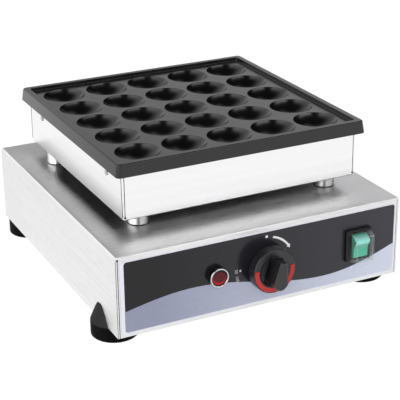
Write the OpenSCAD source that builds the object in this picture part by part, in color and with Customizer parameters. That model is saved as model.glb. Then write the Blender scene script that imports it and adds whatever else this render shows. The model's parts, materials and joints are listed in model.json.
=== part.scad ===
// Electric mini pancake grill for a counter: a cast plate of round cups on a
// polished housing, carried by four posts on a folded steel base with controls.

/* [Base] */
// Width of the base, side to side
base_w = 320; // [290:1:380]
// Depth of the base, front to back
base_d = 340; // [310:1:400]
// Height of the base walls
base_h = 86; // [78:1:110]
// Thickness of the folded steel sheet
sheet_t = 1.2; // [0.8:0.1:2]
// Outside radius of the long folds
bend_r = 2; // [1.5:0.1:4]
// Width of the flange folded in along the bottom of the walls
flange_w = 27; // [24:1:40]
// Thickness of the bottom cover
cover_t = 1; // [0.8:0.1:2]
// Width of the strip folded round each upright corner
seam_inset = 1.7; // [1.7:0.1:5]
// Open gap beside that strip
seam_gap = 0.8; // [0.5:0.1:2]
// Diameter of the relief hole at the end of each seam
relief_d = 2.4; // [2:0.1:3]

/* [Feet] */
// Height of the seat that the base stands on
foot_h = 17.5; // [14:0.5:30]
// Radius of a foot at the floor
foot_r = 24.5; // [20:0.5:26]
// Height of the lip that stands up outside the wall
lip_h = 19; // [8:0.5:30]
// Radius of the foot at the top of that lip
lip_r = 16.5; // [16:0.5:20]
// Distance of a foot's axis behind the wall that it carries
foot_wall_inset = 15; // [12:0.5:15]
// Distance of the front feet from the front wall
foot_front_inset = 45; // [32:1:70]
// Distance of the back feet from the side walls
foot_back_inset = 24; // [24:1:60]
// Diameter of the foot screws
foot_screw_d = 5; // [4:0.5:6]

/* [Posts and housing] */
// Clear height between the base and the housing
post_h = 15; // [10:1:40]
// Diameter of a post
post_d = 22; // [18:1:30]
// Distance of the front posts from the middle, sideways
post_x = 108; // [80:1:114]
// How far the front posts stand to the right of the middle
post_shift = 2.5; // [-4:0.5:4]
// Distance of the back posts from the middle, sideways
post_back_x = 118; // [80:1:118]
// Distance of the front posts from the middle of the housing
post_y = 107; // [80:1:114]
// Distance of the back posts from the middle of the housing
post_back_y = 90; // [70:1:114]
// Diameter of the bolt through each post
post_bolt_d = 8; // [6:0.5:10]
// Width and depth of the square housing
house_w = 264; // [262:1:274]
// Height of the housing
house_h = 48; // [44:1:70]
// How far the housing stands behind the middle of the base
house_back = 6; // [0:0.5:10]
// Width of the flange folded in along the top of the housing
house_flange = 6; // [4:0.5:6.5]
// Thickness of the insulating pad on the housing floor
pad_t = 20; // [10:1:21]
// Outside diameter of the sleeve that the wires pass through
sleeve_d = 28; // [26:1:36]
// Wall of that sleeve
sleeve_t = 2; // [1:0.1:3]

/* [Cooking plate] */
// Width and depth of the plate at the foot of its rim
plate_w = 280; // [278:1:300]
// Height of the rim above the housing
rim_h = 13.5; // [12:0.5:20]
// How far the rim leans in on each side from foot to top
rim_draft = 1.5; // [0.5:0.1:3]
// Width of the top of the rim
rim_w = 7; // [4:0.5:8]
// Depth of the tray below the top of the rim
tray_depth = 4; // [3:0.5:6]
// Cups along each side
cup_count = 5; // [3:1:5]
// Distance between neighbouring cups
cup_pitch = 50.8; // [48:0.1:51]
// Diameter of a cup at the tray
cup_d = 46.5; // [36:0.5:47]
// Depth of a cup
cup_depth = 12; // [8:0.5:13]
// Metal under a cup
cup_floor = 5; // [4:0.5:8]
// Width of the broken edge round a cup
cup_edge = 0.6; // [0.3:0.1:0.8]

/* [Heating] */
// Diameter of the tubular heating element
element_d = 8; // [6.5:0.5:10]
// Distance between neighbouring runs of the element
run_pitch = 60; // [50:1:62]
// Half the straight length of a run
run_half = 72; // [60:1:78]
// Length of the free ends in front of the runs
run_tail = 20; // [12:1:24]
// Width of a clamp bar
bar_w = 20; // [14:1:26]
// Thickness of a clamp bar
bar_t = 3; // [2:0.5:4]
// Length of a clamp bar
bar_l = 216; // [204:1:222]
// Diameter of the sensor bulb
bulb_d = 6; // [4:0.5:7]
// Length of the sensor bulb
bulb_l = 80; // [70:1:100]

/* [Controls] */
// Height of the controls above the foot of the base
control_h = 44.5; // [40:0.5:52]
// Width of the printed overlay
overlay_w = 312; // [280:1:312]
// Height of the printed overlay
overlay_h = 77; // [70:1:77]
// Distance of the overlay from the foot of the base
overlay_foot = 3.5; // [2:0.5:6]
// Thickness of the overlay
overlay_t = 0.6; // [0.3:0.1:1]
// Corner radius of the overlay
overlay_r = 4; // [1:0.5:8]
// Place of the knob, sideways
knob_x = 2.5; // [-10:0.5:20]
// How far the knob stands below the line of the other controls
knob_drop = 1; // [0:0.5:3]
// Diameter of the knob
knob_d = 47; // [42:0.5:52]
// Depth of the knob's round skirt
skirt_h = 16; // [14:0.5:20]
// Depth of the whole knob with its grip
knob_depth = 31.5; // [28:0.5:40]
// Width of the grip at the knob's axis
grip_w = 12; // [10:0.5:14]
// Gap between the knob and the overlay
knob_gap = 1.5; // [0.5:0.1:3]
// Diameter of the thermostat's spindle
spindle_d = 6; // [5:0.5:7]
// Width and height of the thermostat
stat_w = 36; // [34:1:44]
// Depth of the thermostat
stat_d = 32; // [24:1:40]
// Place of the lamp, sideways
lamp_x = -53.5; // [-110:0.5:-45]
// Diameter of the lamp's bright ring
lamp_d = 20.4; // [19:0.2:26]
// How far the lamp stands out of the overlay
lamp_h = 7.6; // [6:0.2:12]
// Place of the switch, sideways
switch_x = 109.3; // [70:0.5:125]
// Width of the switch's bezel
bezel_w = 30.5; // [29:0.5:36]
// Height of the switch's bezel
bezel_h = 35.5; // [34:0.5:42]
// Thickness of the switch's bezel
bezel_t = 5; // [4:0.5:6]
// Width of the rocker
rocker_w = 17; // [14:0.5:18]
// Height of the rocker
rocker_h = 26.4; // [24:0.2:27]
// How far the rocker's noses stand in front of its pivot when level
rocker_nose = 10.6; // [9:0.2:11]
// Lean of the rocker in either position
rocker_lean = 14; // [8:1:14]
// Height of the clear hood in front of the overlay
hood_h = 17; // [16.5:0.5:22]
// Wall of the clear hood
hood_t = 1; // [0.6:0.1:1.4]

/* [Mains entry] */
// Place of the cable gland, sideways
gland_x = 80; // [40:1:120]
// Height of the gland above the foot of the base
gland_z = 26; // [22:1:50]
// Bore of the gland's seal
gland_bore_d = 8; // [6:0.5:9]
// How far the gland stands out of the back wall
gland_reach = 26; // [24:1:34]

/* [Hidden] */
$fn = 64;

// Clearances between pieces
fit = 0.1;            // fixed pieces that slide together
run_fit = 0.05;       // round pieces that turn in each other
slip = 0.5;           // loose sheet and soft pieces
hole_slip = 0.3;      // screws in clearance holes
cut = 1;              // how far a cutting shape passes a face

// Heights and middles
front_reach = overlay_t + knob_gap + knob_depth;
base_cy = (front_reach - max(gland_reach, foot_r - foot_wall_inset)) / 2;
front_y = base_cy - base_d / 2;
back_y = base_cy + base_d / 2;
panel_y = front_y - overlay_t;
inner_y = front_y + sheet_t;
base_top = foot_h + base_h;
cover_top = foot_h + cover_t;
flange_top = cover_top + sheet_t;
house_cy = base_cy + house_back;
house_z = base_top + post_h;
house_floor = house_z + sheet_t;
plate_z = house_z + house_h;
top_z = plate_z + rim_h;
tray_z = top_z - tray_depth;
plate_bottom = tray_z - cup_depth - cup_floor;
block_w = house_w - 2 * house_flange - 4 * slip;
control_z = foot_h + control_h;
knob_z = control_z - knob_drop;

// Screws and nuts
foot_head_d = 9;
foot_head_h = 3.2;
foot_counterbore = 7;
foot_nut_d = 9.2;
foot_nut_h = 4;
foot_head_slip = 1;
foot_screw_end = 2;
screw_d = 4;
screw_head_d = 7;
screw_head_h = 2.4;
screw_end = 4;
screw_short = 1;
bolt_head_d = 15;
bolt_head_h = 5;
washer_d = 18;
washer_t = 1.6;
bolt_nut_h = 6;
bolt_end = 4;
clamp_screw_d = 5;
clamp_head_d = 9;
clamp_head_h = 3.5;
clamp_screw_in = 8;

// Seams: how far the strips reach past the relief holes
seam_lap = 4;

// Feet: the upright side of the body below its tapering lip
foot_side_h = foot_h - 1;
foot_round = 1.5;

// Plate: edges, and the lugs that the side screws hold
plate_corner_r = 5;
plate_edge = 1.2;
tray_corner_r = 4;
tray_draft = 1.2;
lug_w = 14;
lug_t = 10;
lug_h = 7;
lug_y = 93;
lug_end = 2;
lug_screw_drop = 2.5;
side_head_d = 6;
side_head_h = 1.6;
cup_sphere_r = (cup_d * cup_d / 4 + cup_depth * cup_depth) / (2 * cup_depth);

// Heating: heights under the plate
element_z = plate_bottom - element_d / 2 - fit;
bar_top = element_z - element_d / 2 - fit;
bar_y = cup_pitch / 2;
bar_screw_x = 1.5 * cup_pitch;
pin_d = 3;
pin_l = 10;
bulb_z = plate_bottom - bulb_d / 2 - fit;
bulb_y = house_cy + 10;
clip_t = 1.2;
clip_w = 10;
clip_wing = 10;

// Thermostat: bushing and mounting screws
spindle_in = 11.5;
spindle_out = 14;
spindle_flat = 1;
spindle_hole_d = spindle_d + 5;
stat_screw_pitch = 28;
stat_screw_in = 8;

// Knob
skirt_lean = 0.5;
skirt_edge = 0.6;
skirt_back = 5;
skirt_step = 3;
dish_r = knob_d / 2 - 7;
dish_floor_r = 7;
dish_depth = 8;
knob_floor = 2.5;
knob_wall = 1.5;
knob_hollow_r = knob_d / 2 - skirt_step - knob_wall;
knob_hub_r = 6.5;
grip_turn = 8;
grip_edge = 1;
grip_sink = 0.5;
grip_root = [dish_r - 2, grip_w / 2 - 3, -9.5, grip_w / 2 + 0.4, 5.5];
grip_face = [dish_r - 1.7, grip_w / 2 - 2, -8.6, grip_w / 2 + 2, 6.2];
band_in_r = knob_d / 2 - 5.7;
band_out_r = knob_d / 2 - 1.2;
band_t = 0.8;
band_rise = 10;

// Lamp, as heights out of the overlay
lamp_barrel_d = 16;
lamp_back = 22;
lamp_ring_w = 1.6;
lamp_ring_h = 2.6;
lamp_ring_out = 0.5;
lamp_wall = 1;
lamp_recess = 0.6;
lamp_shoulder = lamp_h - lamp_ring_h;
lamp_nose_r = lamp_d / 2 - lamp_ring_w;
lamp_lens_r = lamp_nose_r - lamp_wall;
lamp_lens_seat = 3;
lamp_lens_dome = 1.2;
lamp_nut_d = 24;
lamp_nut_h = 4;
lamp_bulb_d = 6;
lamp_bulb_l = 16;
lamp_bulb_out = 1;

// Switch, with its pivot in the plane of the overlay
rocker_swing = 0.3;
well_w = rocker_w + 2 * slip;
well_h = rocker_h + 2 * slip + 2 * rocker_swing;
well_floor = 10;
switch_wall = 1.3;
switch_back = 16;
pivot_d = 2.4;
nose_y = 9.5;
nose_w = 0.8;
nose_drop = 0.6;
valley = 2.4;
rocker_side = 2;
rocker_deep = 6;
bezel_edge = 1;
bezel_r = 2;
blade_w = 6.3;
blade_t = 0.8;
blade_l = 10;
blade_x = 5;
blade_z = 6;
hood_side = 2.3;
hood_end = 0.8;
hood_foot_w = well_w + 2 * hood_t + 2 * hood_side;
hood_foot_h = well_h + 2 * hood_t + 2 * hood_end;
hood_lean = 2;
hood_rim = 1;
hood_rim_inset = 1.5;

// Gland
gland_hex_d = 25;
gland_hex_h = 6;
gland_thread_d = 16;
gland_inside = 14;
gland_wall = 2.4;
gland_nut_h = 5;
gland_cap_d = 24;
gland_cap_gap = 1;
gland_nose = 6;
gland_nose_in = 2;
gland_nose_d = 14;
gland_lip = 0.5;
gland_seal_l = 12;
gland_seal_start = 8;

// Terminal block and earth stud on the bottom cover
block_l = 40;
block_dp = 20;
block_h = 16;
block_x = 80;
block_y = 110;
pole_pitch = 13;
pole_screw_d = 5;
pole_screw_l = 5;
pole_back = 6;
pole_deep = 6;
earth_x = 20;
earth_in = 54;
earth_y = back_y - earth_in;
earth_d = 6;
earth_h = 18;
earth_nut_d = 11;
earth_nut_h = 5;

// Wires and capillary, from end to end: over the pad, down the sleeve, then through the base
wire_d = 3;
thin_wire_d = 2;
capillary_d = 2;
wire_straight = 6;
pad_top = house_floor + pad_t;
stat_back = inner_y + stat_d;
bulb_end = bulb_y + bulb_l / 2;
capillary_z = knob_z + 4;
capillary_route = [
    [0, bulb_end, bulb_z], [0, bulb_end + 4, bulb_z], [0, bulb_end + 10, pad_top + 11],
    [0, bulb_end + 4, pad_top + 6], [0, house_cy + 32, pad_top + 4], [0, house_cy + 14, pad_top + 3],
    [0, house_cy + 7, pad_top - 3], [0, house_cy + 6, house_z + 6], [0, house_cy + 6, base_top - 4],
    [0, house_cy, base_top - 14], [0, house_cy - 50, base_top - 24], [0, stat_back + 34, capillary_z + 6],
    [0, stat_back + wire_straight, capillary_z], [0, stat_back, capillary_z]
];
pin_x = 1.5 * run_pitch;
pin_end_y = house_cy - run_half - run_tail - pin_l;
heater_left_route = [
    [-pin_x, pin_end_y, element_z], [-pin_x, pin_end_y - 5, element_z],
    [6 - pin_x, pin_end_y - 10, pad_top + 10], [30 - pin_x, pin_end_y - 2, pad_top + 6],
    [-20, house_cy - 48, pad_top + 5], [-7, house_cy - 12, pad_top + 4], [-5, house_cy - 2, pad_top - 4],
    [-5, house_cy, house_z + 2], [-5, house_cy, base_top - 4], [-8, house_cy + 5, base_top - 14],
    [0, house_cy + 52, base_top - 26], [block_x - 40, block_y - 12, base_top - 42],
    [block_x - 16, block_y - 2, cover_top + block_h + 14],
    [block_x - pole_pitch, block_y, cover_top + block_h + wire_straight],
    [block_x - pole_pitch, block_y, cover_top + block_h]
];
stat_pin_x = knob_x + 9.5;
heater_right_route = [
    [pin_x, pin_end_y, element_z], [pin_x, pin_end_y - 5, element_z],
    [pin_x - 6, pin_end_y - 10, pad_top + 10], [pin_x - 30, pin_end_y - 2, pad_top + 6],
    [20, house_cy - 48, pad_top + 5], [7, house_cy - 12, pad_top + 4], [5, house_cy - 2, pad_top - 4],
    [5, house_cy, house_z + 2], [5, house_cy, base_top - 4], [8, house_cy - 8, base_top - 12],
    [12, house_cy - 68, base_top - 20], [stat_pin_x, stat_back + 26, knob_z + 16],
    [stat_pin_x, stat_back + 8, knob_z + 10], [stat_pin_x, stat_back, knob_z + 10]
];
blade_end = panel_y + switch_back + blade_l;
supply_z = cover_top + block_h / 2;
supply_left_route = [
    [block_x + 6, block_y - block_dp / 2, supply_z], [block_x + 6, block_y - block_dp / 2 - 8, supply_z],
    [90, 50, supply_z + 2], [98, -50, control_z - 24], [switch_x - blade_x, blade_end + 26, control_z - 10],
    [switch_x - blade_x, blade_end + 8, control_z - blade_z],
    [switch_x - blade_x, blade_end, control_z - blade_z]
];
supply_right_route = [
    [block_x + 14, block_y - block_dp / 2, supply_z], [block_x + 14, block_y - block_dp / 2 - 8, supply_z],
    [102, 50, supply_z + 2], [110, -50, control_z - 24], [switch_x + blade_x, blade_end + 26, control_z - 10],
    [switch_x + blade_x, blade_end + 8, control_z - blade_z],
    [switch_x + blade_x, blade_end, control_z - blade_z]
];
switched_route = [
    [switch_x - blade_x, blade_end, control_z + blade_z],
    [switch_x - blade_x, blade_end + 8, control_z + blade_z],
    [switch_x - 21, blade_end + 20, control_z + 6], [switch_x - 57, stat_back + 18, control_z + 3],
    [stat_pin_x + 10, stat_back + 16, knob_z - 4], [stat_pin_x, stat_back + 8, knob_z - 6],
    [stat_pin_x, stat_back, knob_z - 6]
];
lamp_end = panel_y + lamp_back;
lamp_pin_x = 2.5;
lamp_left_route = [
    [lamp_x - lamp_pin_x, lamp_end, control_z], [lamp_x - lamp_pin_x, lamp_end + 8, control_z],
    [lamp_x + 1.5, -100, control_z - 10], [-10, 10, supply_z + 15], [40, 86, supply_z + 5],
    [block_x - 14, block_y - block_dp / 2 - 8, supply_z], [block_x - 14, block_y - block_dp / 2, supply_z]
];
lamp_right_route = [
    [lamp_x + lamp_pin_x, lamp_end, control_z], [lamp_x + lamp_pin_x, lamp_end + 8, control_z],
    [lamp_x + 11.5, stat_back + 10, control_z - 2], [-20, stat_back + 17, control_z - 5],
    [knob_x - 9, stat_back + 8, knob_z - 6], [knob_x - 9, stat_back, knob_z - 6]
];

// Bottom cover: its screws and its rows of vents, from the middle of the base
cover_screw_x = 64;
cover_screw_front = 20;
cover_screw_back = 61;
vent_x = 64;
vent_w = 4;
vent_l = 44;
vent_pitch = 12;

// Places of the four posts, and of the four feet with the way their lips face
post_at = [
    [post_shift - post_x, house_cy - post_y], [post_shift + post_x, house_cy - post_y],
    [-post_back_x, house_cy + post_back_y], [post_back_x, house_cy + post_back_y]
];
foot_at = [
    [-base_w / 2 + foot_wall_inset, front_y + foot_front_inset, 180],
    [base_w / 2 - foot_wall_inset, front_y + foot_front_inset, 0],
    [-base_w / 2 + foot_back_inset, back_y - foot_wall_inset, 90],
    [base_w / 2 - foot_back_inset, back_y - foot_wall_inset, 90]
];
cover_screw_at = concat(
    [for (sx = [-1, 1]) for (y = [front_y + flange_w / 2, back_y - flange_w / 2]) [sx * cover_screw_x, y]],
    [for (sx = [-1, 1]) for (y = [-cover_screw_front, cover_screw_back])
        [sx * (base_w / 2 - flange_w / 2), base_cy + y]]
);

// A block on the floor plane with its long top edges folded to a radius
module folded_block(w, d, h, r) {
    difference() {
        translate([-w / 2, -d / 2, 0]) cube([w, d, h]);
        for (turn = [0 : 90 : 270]) rotate(turn) {
            across = turn % 180 == 0 ? w : d;
            deep = turn % 180 == 0 ? d : w;
            translate([-across / 2 - cut, -deep / 2 - cut, h - r]) difference() {
                cube([across + 2 * cut, r + cut, r + cut]);
                translate([0, r + cut, 0]) rotate([0, 90, 0]) cylinder(r = r, h = across + 2 * cut);
            }
        }
    }
}

// The open seams at the four upright corners of a folded box
module corner_seams(w, d, z0, z1, relief_z) {
    for (sx = [-1, 1]) for (sy = [-1, 1]) scale([sx, sy, 1]) {
        translate([-w / 2 + seam_inset, -d / 2 - cut, z0]) cube([seam_gap, sheet_t + cut, z1 - z0]);
        translate([-w / 2 + seam_inset + seam_gap / 2, -d / 2 - cut, relief_z])
            rotate([-90, 0, 0]) cylinder(d = relief_d, h = sheet_t + cut);
    }
}

// The strips behind those seams, folded round from the side walls
module corner_strips(w, d, z0, z1) {
    for (sx = [-1, 1]) for (sy = [-1, 1]) scale([sx, sy, 1])
        translate([-w / 2, -d / 2 + sheet_t, z0])
            cube([seam_inset + seam_gap + relief_d + seam_lap, sheet_t, z1 - z0]);
}

// A shape drawn with +Z out of the front panel, placed on the overlay
module on_panel(x, z = control_z) {
    translate([x, panel_y, z]) rotate([90, 0, 0]) children();
}

// A flat outline with round corners, as an exact shape
module round_rect(w, h, r) {
    union() {
        square([w - 2 * r, h], center = true);
        square([w, h - 2 * r], center = true);
        for (sx = [-1, 1]) for (sy = [-1, 1]) translate([sx * (w / 2 - r), sy * (h / 2 - r)]) circle(r);
    }
}

// A pan head screw or a bolt pointing up, with its head below z = 0
module pan_screw(d, length, head_d, head_h) {
    union() {
        cylinder(d = d, h = length);
        translate([0, 0, -head_h]) cylinder(d = head_d, h = head_h);
    }
}

module hex_nut(across, h, bore) {
    difference() {
        cylinder(d = across, h = h, $fn = 6);
        translate([0, 0, -cut]) cylinder(d = bore, h = h + 2 * cut);
    }
}

// A tube swept along a smooth curve through a route
function unit(v) = v / norm(v);
function along(a, b, c, d, t) = 0.5 * (2 * b + (c - a) * t + (2 * a - 5 * b + 4 * c - d) * t * t
    + (3 * b - a - 3 * c + d) * t * t * t);
function curve(p, n) = [
    for (i = [0 : len(p) - 2]) for (j = [0 : n - 1])
        along(p[max(i - 1, 0)], p[i], p[i + 1], p[min(i + 2, len(p) - 1)], j / n),
    p[len(p) - 1]
];
function headings(p, route) = let (last = len(p) - 1, end = len(route) - 1) [
    unit(route[1] - route[0]),
    for (i = [1 : last - 1]) unit(p[i + 1] - p[i - 1]),
    unit(route[end] - route[end - 1])
];
function sides_along(t, last, i = 0) = i == len(t) ? []
    : let (side = unit(last - (last * t[i]) * t[i])) concat([side], sides_along(t, side, i + 1));

module tube(route, d, steps = 3, n = 8) {
    p = curve(route, steps);
    t = headings(p, route);
    s = sides_along(t, unit(cross(t[0], [0.3, 0.5, 0.8])));
    points = [for (i = [0 : len(p) - 1]) for (k = [0 : n - 1])
        p[i] + d / 2 * (cos(360 * k / n) * s[i] + sin(360 * k / n) * cross(t[i], s[i]))];
    walls = [for (i = [0 : len(p) - 2]) for (k = [0 : n - 1]) let (a = i * n + k, b = i * n + (k + 1) % n)
        each [[a, a + n, b + n], [a, b + n, b]]];
    last = (len(p) - 1) * n;
    ends = [[for (k = [0 : n - 1]) k], [for (k = [n - 1 : -1 : 0]) last + k]];
    polyhedron(points, concat(walls, ends));
}

// Folded steel box, open below, with a flange for the bottom cover
module base_shell() {
    color("silver") difference() {
        union() {
            difference() {
                translate([0, base_cy, foot_h]) folded_block(base_w, base_d, base_h, bend_r);
                translate([-base_w / 2 + sheet_t, inner_y, foot_h - cut])
                    cube([base_w - 2 * sheet_t, base_d - 2 * sheet_t, base_h - sheet_t + cut]);
            }
            translate([0, base_cy, 0]) {
                corner_strips(base_w, base_d, cover_top, base_top - sheet_t);
                difference() {
                    translate([-base_w / 2 + sheet_t, -base_d / 2 + sheet_t, cover_top])
                        cube([base_w - 2 * sheet_t, base_d - 2 * sheet_t, sheet_t]);
                    translate([-base_w / 2 + flange_w, -base_d / 2 + flange_w, cover_top - cut])
                        cube([base_w - 2 * flange_w, base_d - 2 * flange_w, sheet_t + 2 * cut]);
                }
            }
        }
        translate([0, base_cy, 0])
            corner_seams(base_w, base_d, foot_h - cut, base_top - bend_r - relief_d / 2,
                base_top - bend_r - relief_d / 2);
        for (p = post_at) translate([p[0], p[1], base_top - sheet_t - cut])
            cylinder(d = post_bolt_d + 2 * hole_slip, h = sheet_t + 2 * cut);
        translate([0, house_cy, base_top - sheet_t - cut])
            cylinder(d = sleeve_d - 2 * sleeve_t, h = sheet_t + 2 * cut);
        for (p = foot_at) translate([p[0], p[1], cover_top - cut])
            cylinder(d = foot_screw_d + 2 * hole_slip, h = sheet_t + 2 * cut);
        for (p = cover_screw_at) translate([p[0], p[1], cover_top - cut])
            cylinder(d = screw_d + 2 * fit, h = sheet_t + 2 * cut);
        panel_holes(sheet_t + overlay_t);
        translate([gland_x, back_y + cut, foot_h + gland_z]) rotate([90, 0, 0])
            cylinder(d = gland_thread_d + 2 * fit, h = sheet_t + 2 * cut);
    }
}

// Holes for the controls, cut to a depth behind the face of the overlay
module panel_holes(depth) {
    on_panel(knob_x, knob_z) {
        translate([0, 0, -depth - cut]) cylinder(d = spindle_hole_d, h = depth + 2 * cut);
        for (s = [-1, 1]) translate([s * stat_screw_pitch / 2, 0, -depth - cut])
            cylinder(d = screw_d + 2 * hole_slip, h = depth + 2 * cut);
    }
    on_panel(lamp_x) translate([0, 0, -depth - cut])
        cylinder(d = lamp_barrel_d + 2 * fit, h = depth + 2 * cut);
    window_w = well_w + 2 * switch_wall + 2 * fit;
    window_h = well_h + 2 * switch_wall + 2 * fit;
    on_panel(switch_x) translate([-window_w / 2, -window_h / 2, -depth - cut])
        cube([window_w, window_h, depth + 2 * cut]);
}

// Flat cover inside the foot of the walls, with rows of vent slots
module bottom_cover() {
    color("gainsboro") difference() {
        translate([-base_w / 2 + sheet_t + slip, inner_y + slip, foot_h])
            cube([base_w - 2 * sheet_t - 2 * slip, base_d - 2 * sheet_t - 2 * slip, cover_t]);
        for (p = foot_at) translate([p[0], p[1], foot_h - cut])
            cylinder(d = foot_screw_d + 2 * hole_slip, h = cover_t + 2 * cut);
        for (p = cover_screw_at) translate([p[0], p[1], foot_h - cut])
            cylinder(d = screw_d + 2 * hole_slip, h = cover_t + 2 * cut);
        for (sx = [-1, 1]) for (i = [-3 : 3])
            translate([sx * vent_x - vent_l / 2, base_cy + i * vent_pitch - vent_w / 2, foot_h - cut])
                cube([vent_l, vent_w, cover_t + 2 * cut]);
        translate([earth_x, earth_y, foot_h - cut]) cylinder(d = earth_d + 2 * fit, h = cover_t + 2 * cut);
    }
}

module cover_screws() {
    color("lightgray") for (p = cover_screw_at) translate([p[0], p[1], foot_h])
        pan_screw(screw_d, cover_t + sheet_t + screw_end, screw_head_d, screw_head_h);
}

// Round rubber foot with a flat seat, and a lip outside the wall
module foot(i) {
    color("dimgray") translate([foot_at[i][0], foot_at[i][1], 0]) rotate(foot_at[i][2]) difference() {
        rotate_extrude() polygon([
            [0, 0], [foot_r - foot_round, 0], [foot_r, foot_round], [foot_r, foot_side_h],
            [lip_r, foot_h + lip_h - foot_round], [lip_r - foot_round, foot_h + lip_h], [0, foot_h + lip_h]
        ]);
        translate([-2 * foot_r, -2 * foot_r, foot_h])
            cube([2 * foot_r + foot_wall_inset, 4 * foot_r, lip_h + cut]);
        translate([0, 0, -cut]) cylinder(d = foot_screw_d + 2 * hole_slip, h = foot_h + 2 * cut);
        translate([0, 0, -cut]) cylinder(d = foot_head_d + 2 * foot_head_slip, h = foot_counterbore + cut);
    }
}

module foot_front_left() foot(0);
module foot_front_right() foot(1);
module foot_back_left() foot(2);
module foot_back_right() foot(3);

module foot_screws() {
    length = flange_top + foot_nut_h + foot_screw_end - foot_counterbore;
    color("lightgray") for (p = foot_at) translate([p[0], p[1], foot_counterbore])
        pan_screw(foot_screw_d, length, foot_head_d, foot_head_h);
}

module foot_nuts() {
    color("lightgray") for (p = foot_at) translate([p[0], p[1], flange_top])
        hex_nut(foot_nut_d, foot_nut_h, foot_screw_d + 2 * fit);
}

// Polished spacer between the base and the housing
module post(i) {
    color("whitesmoke") translate([post_at[i][0], post_at[i][1], base_top]) difference() {
        cylinder(d = post_d, h = post_h);
        translate([0, 0, -cut]) cylinder(d = post_bolt_d + 2 * hole_slip, h = post_h + 2 * cut);
    }
}

module post_front_left() post(0);
module post_front_right() post(1);
module post_back_left() post(2);
module post_back_right() post(3);

module post_bolts() {
    end_z = base_top - sheet_t - washer_t - bolt_nut_h - bolt_end;
    color("lightgray") for (p = post_at) translate([p[0], p[1], 0]) union() {
        translate([0, 0, end_z]) cylinder(d = post_bolt_d, h = house_floor - end_z);
        translate([0, 0, house_floor]) cylinder(d = bolt_head_d, h = bolt_head_h, $fn = 6);
    }
}

module post_washers() {
    color("lightgray") for (p = post_at) translate([p[0], p[1], base_top - sheet_t - washer_t]) difference() {
        cylinder(d = washer_d, h = washer_t);
        translate([0, 0, -cut]) cylinder(d = post_bolt_d + 2 * hole_slip, h = washer_t + 2 * cut);
    }
}

module post_nuts() {
    color("lightgray") for (p = post_at)
        translate([p[0], p[1], base_top - sheet_t - washer_t - bolt_nut_h])
            hex_nut(bolt_head_d, bolt_nut_h, post_bolt_d + 2 * fit);
}

// Polished folded box, open above, that the plate closes
module upper_housing() {
    mouth = house_w - 2 * house_flange;
    color("white") difference() {
        union() {
            difference() {
                translate([0, house_cy, plate_z]) mirror([0, 0, 1])
                    folded_block(house_w, house_w, house_h, bend_r);
                translate([-house_w / 2 + sheet_t, house_cy - house_w / 2 + sheet_t, house_floor])
                    cube([house_w - 2 * sheet_t, house_w - 2 * sheet_t, house_h]);
            }
            translate([0, house_cy, 0]) {
                corner_strips(house_w, house_w, house_floor, plate_z);
                difference() {
                    translate([-house_w / 2 + sheet_t, -house_w / 2 + sheet_t, plate_z - sheet_t])
                        cube([house_w - 2 * sheet_t, house_w - 2 * sheet_t, sheet_t]);
                    translate([-mouth / 2, -mouth / 2, plate_z - sheet_t - cut])
                        cube([mouth, mouth, sheet_t + 2 * cut]);
                }
            }
        }
        translate([0, house_cy, 0]) {
            corner_seams(house_w, house_w, house_z + bend_r + relief_d / 2, plate_z - sheet_t,
                house_z + bend_r + relief_d / 2);
            translate([0, 0, house_z - cut]) cylinder(d = sleeve_d - 2 * sleeve_t, h = sheet_t + 2 * cut);
        }
        for (p = post_at) translate([p[0], p[1], house_z - cut])
            cylinder(d = post_bolt_d + 2 * hole_slip, h = sheet_t + 2 * cut);
        side_screw_places() translate([0, 0, -sheet_t - cut])
            cylinder(d = screw_d + 2 * hole_slip, h = sheet_t + 2 * cut);
    }
}

// Each side screw's place, with +Z out of the side wall of the housing
module side_screw_places() {
    for (sx = [-1, 1]) for (sy = [-1, 1])
        translate([sx * house_w / 2, house_cy + sy * lug_y, plate_bottom - lug_screw_drop])
            rotate([0, sx * 90, 0]) children();
}

module insulating_pad() {
    color("khaki") translate([0, house_cy, house_floor]) difference() {
        translate([-house_w / 2 + sheet_t + seam_inset, -house_w / 2 + 2 * sheet_t + slip, 0])
            cube([house_w - 2 * sheet_t - 2 * seam_inset, house_w - 4 * sheet_t - 2 * slip, pad_t]);
        for (p = post_at) translate([p[0], p[1] - house_cy, -cut])
            cylinder(d = bolt_head_d + 4 * slip, h = bolt_head_h + slip + cut);
        translate([0, 0, -cut]) cylinder(d = sleeve_d - 2 * sleeve_t, h = pad_t + 2 * cut);
    }
}

module wire_sleeve() {
    color("gainsboro") translate([0, house_cy, base_top]) difference() {
        cylinder(d = sleeve_d, h = post_h);
        translate([0, 0, -cut]) cylinder(d = sleeve_d - 2 * sleeve_t, h = post_h + 2 * cut);
    }
}

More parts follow.
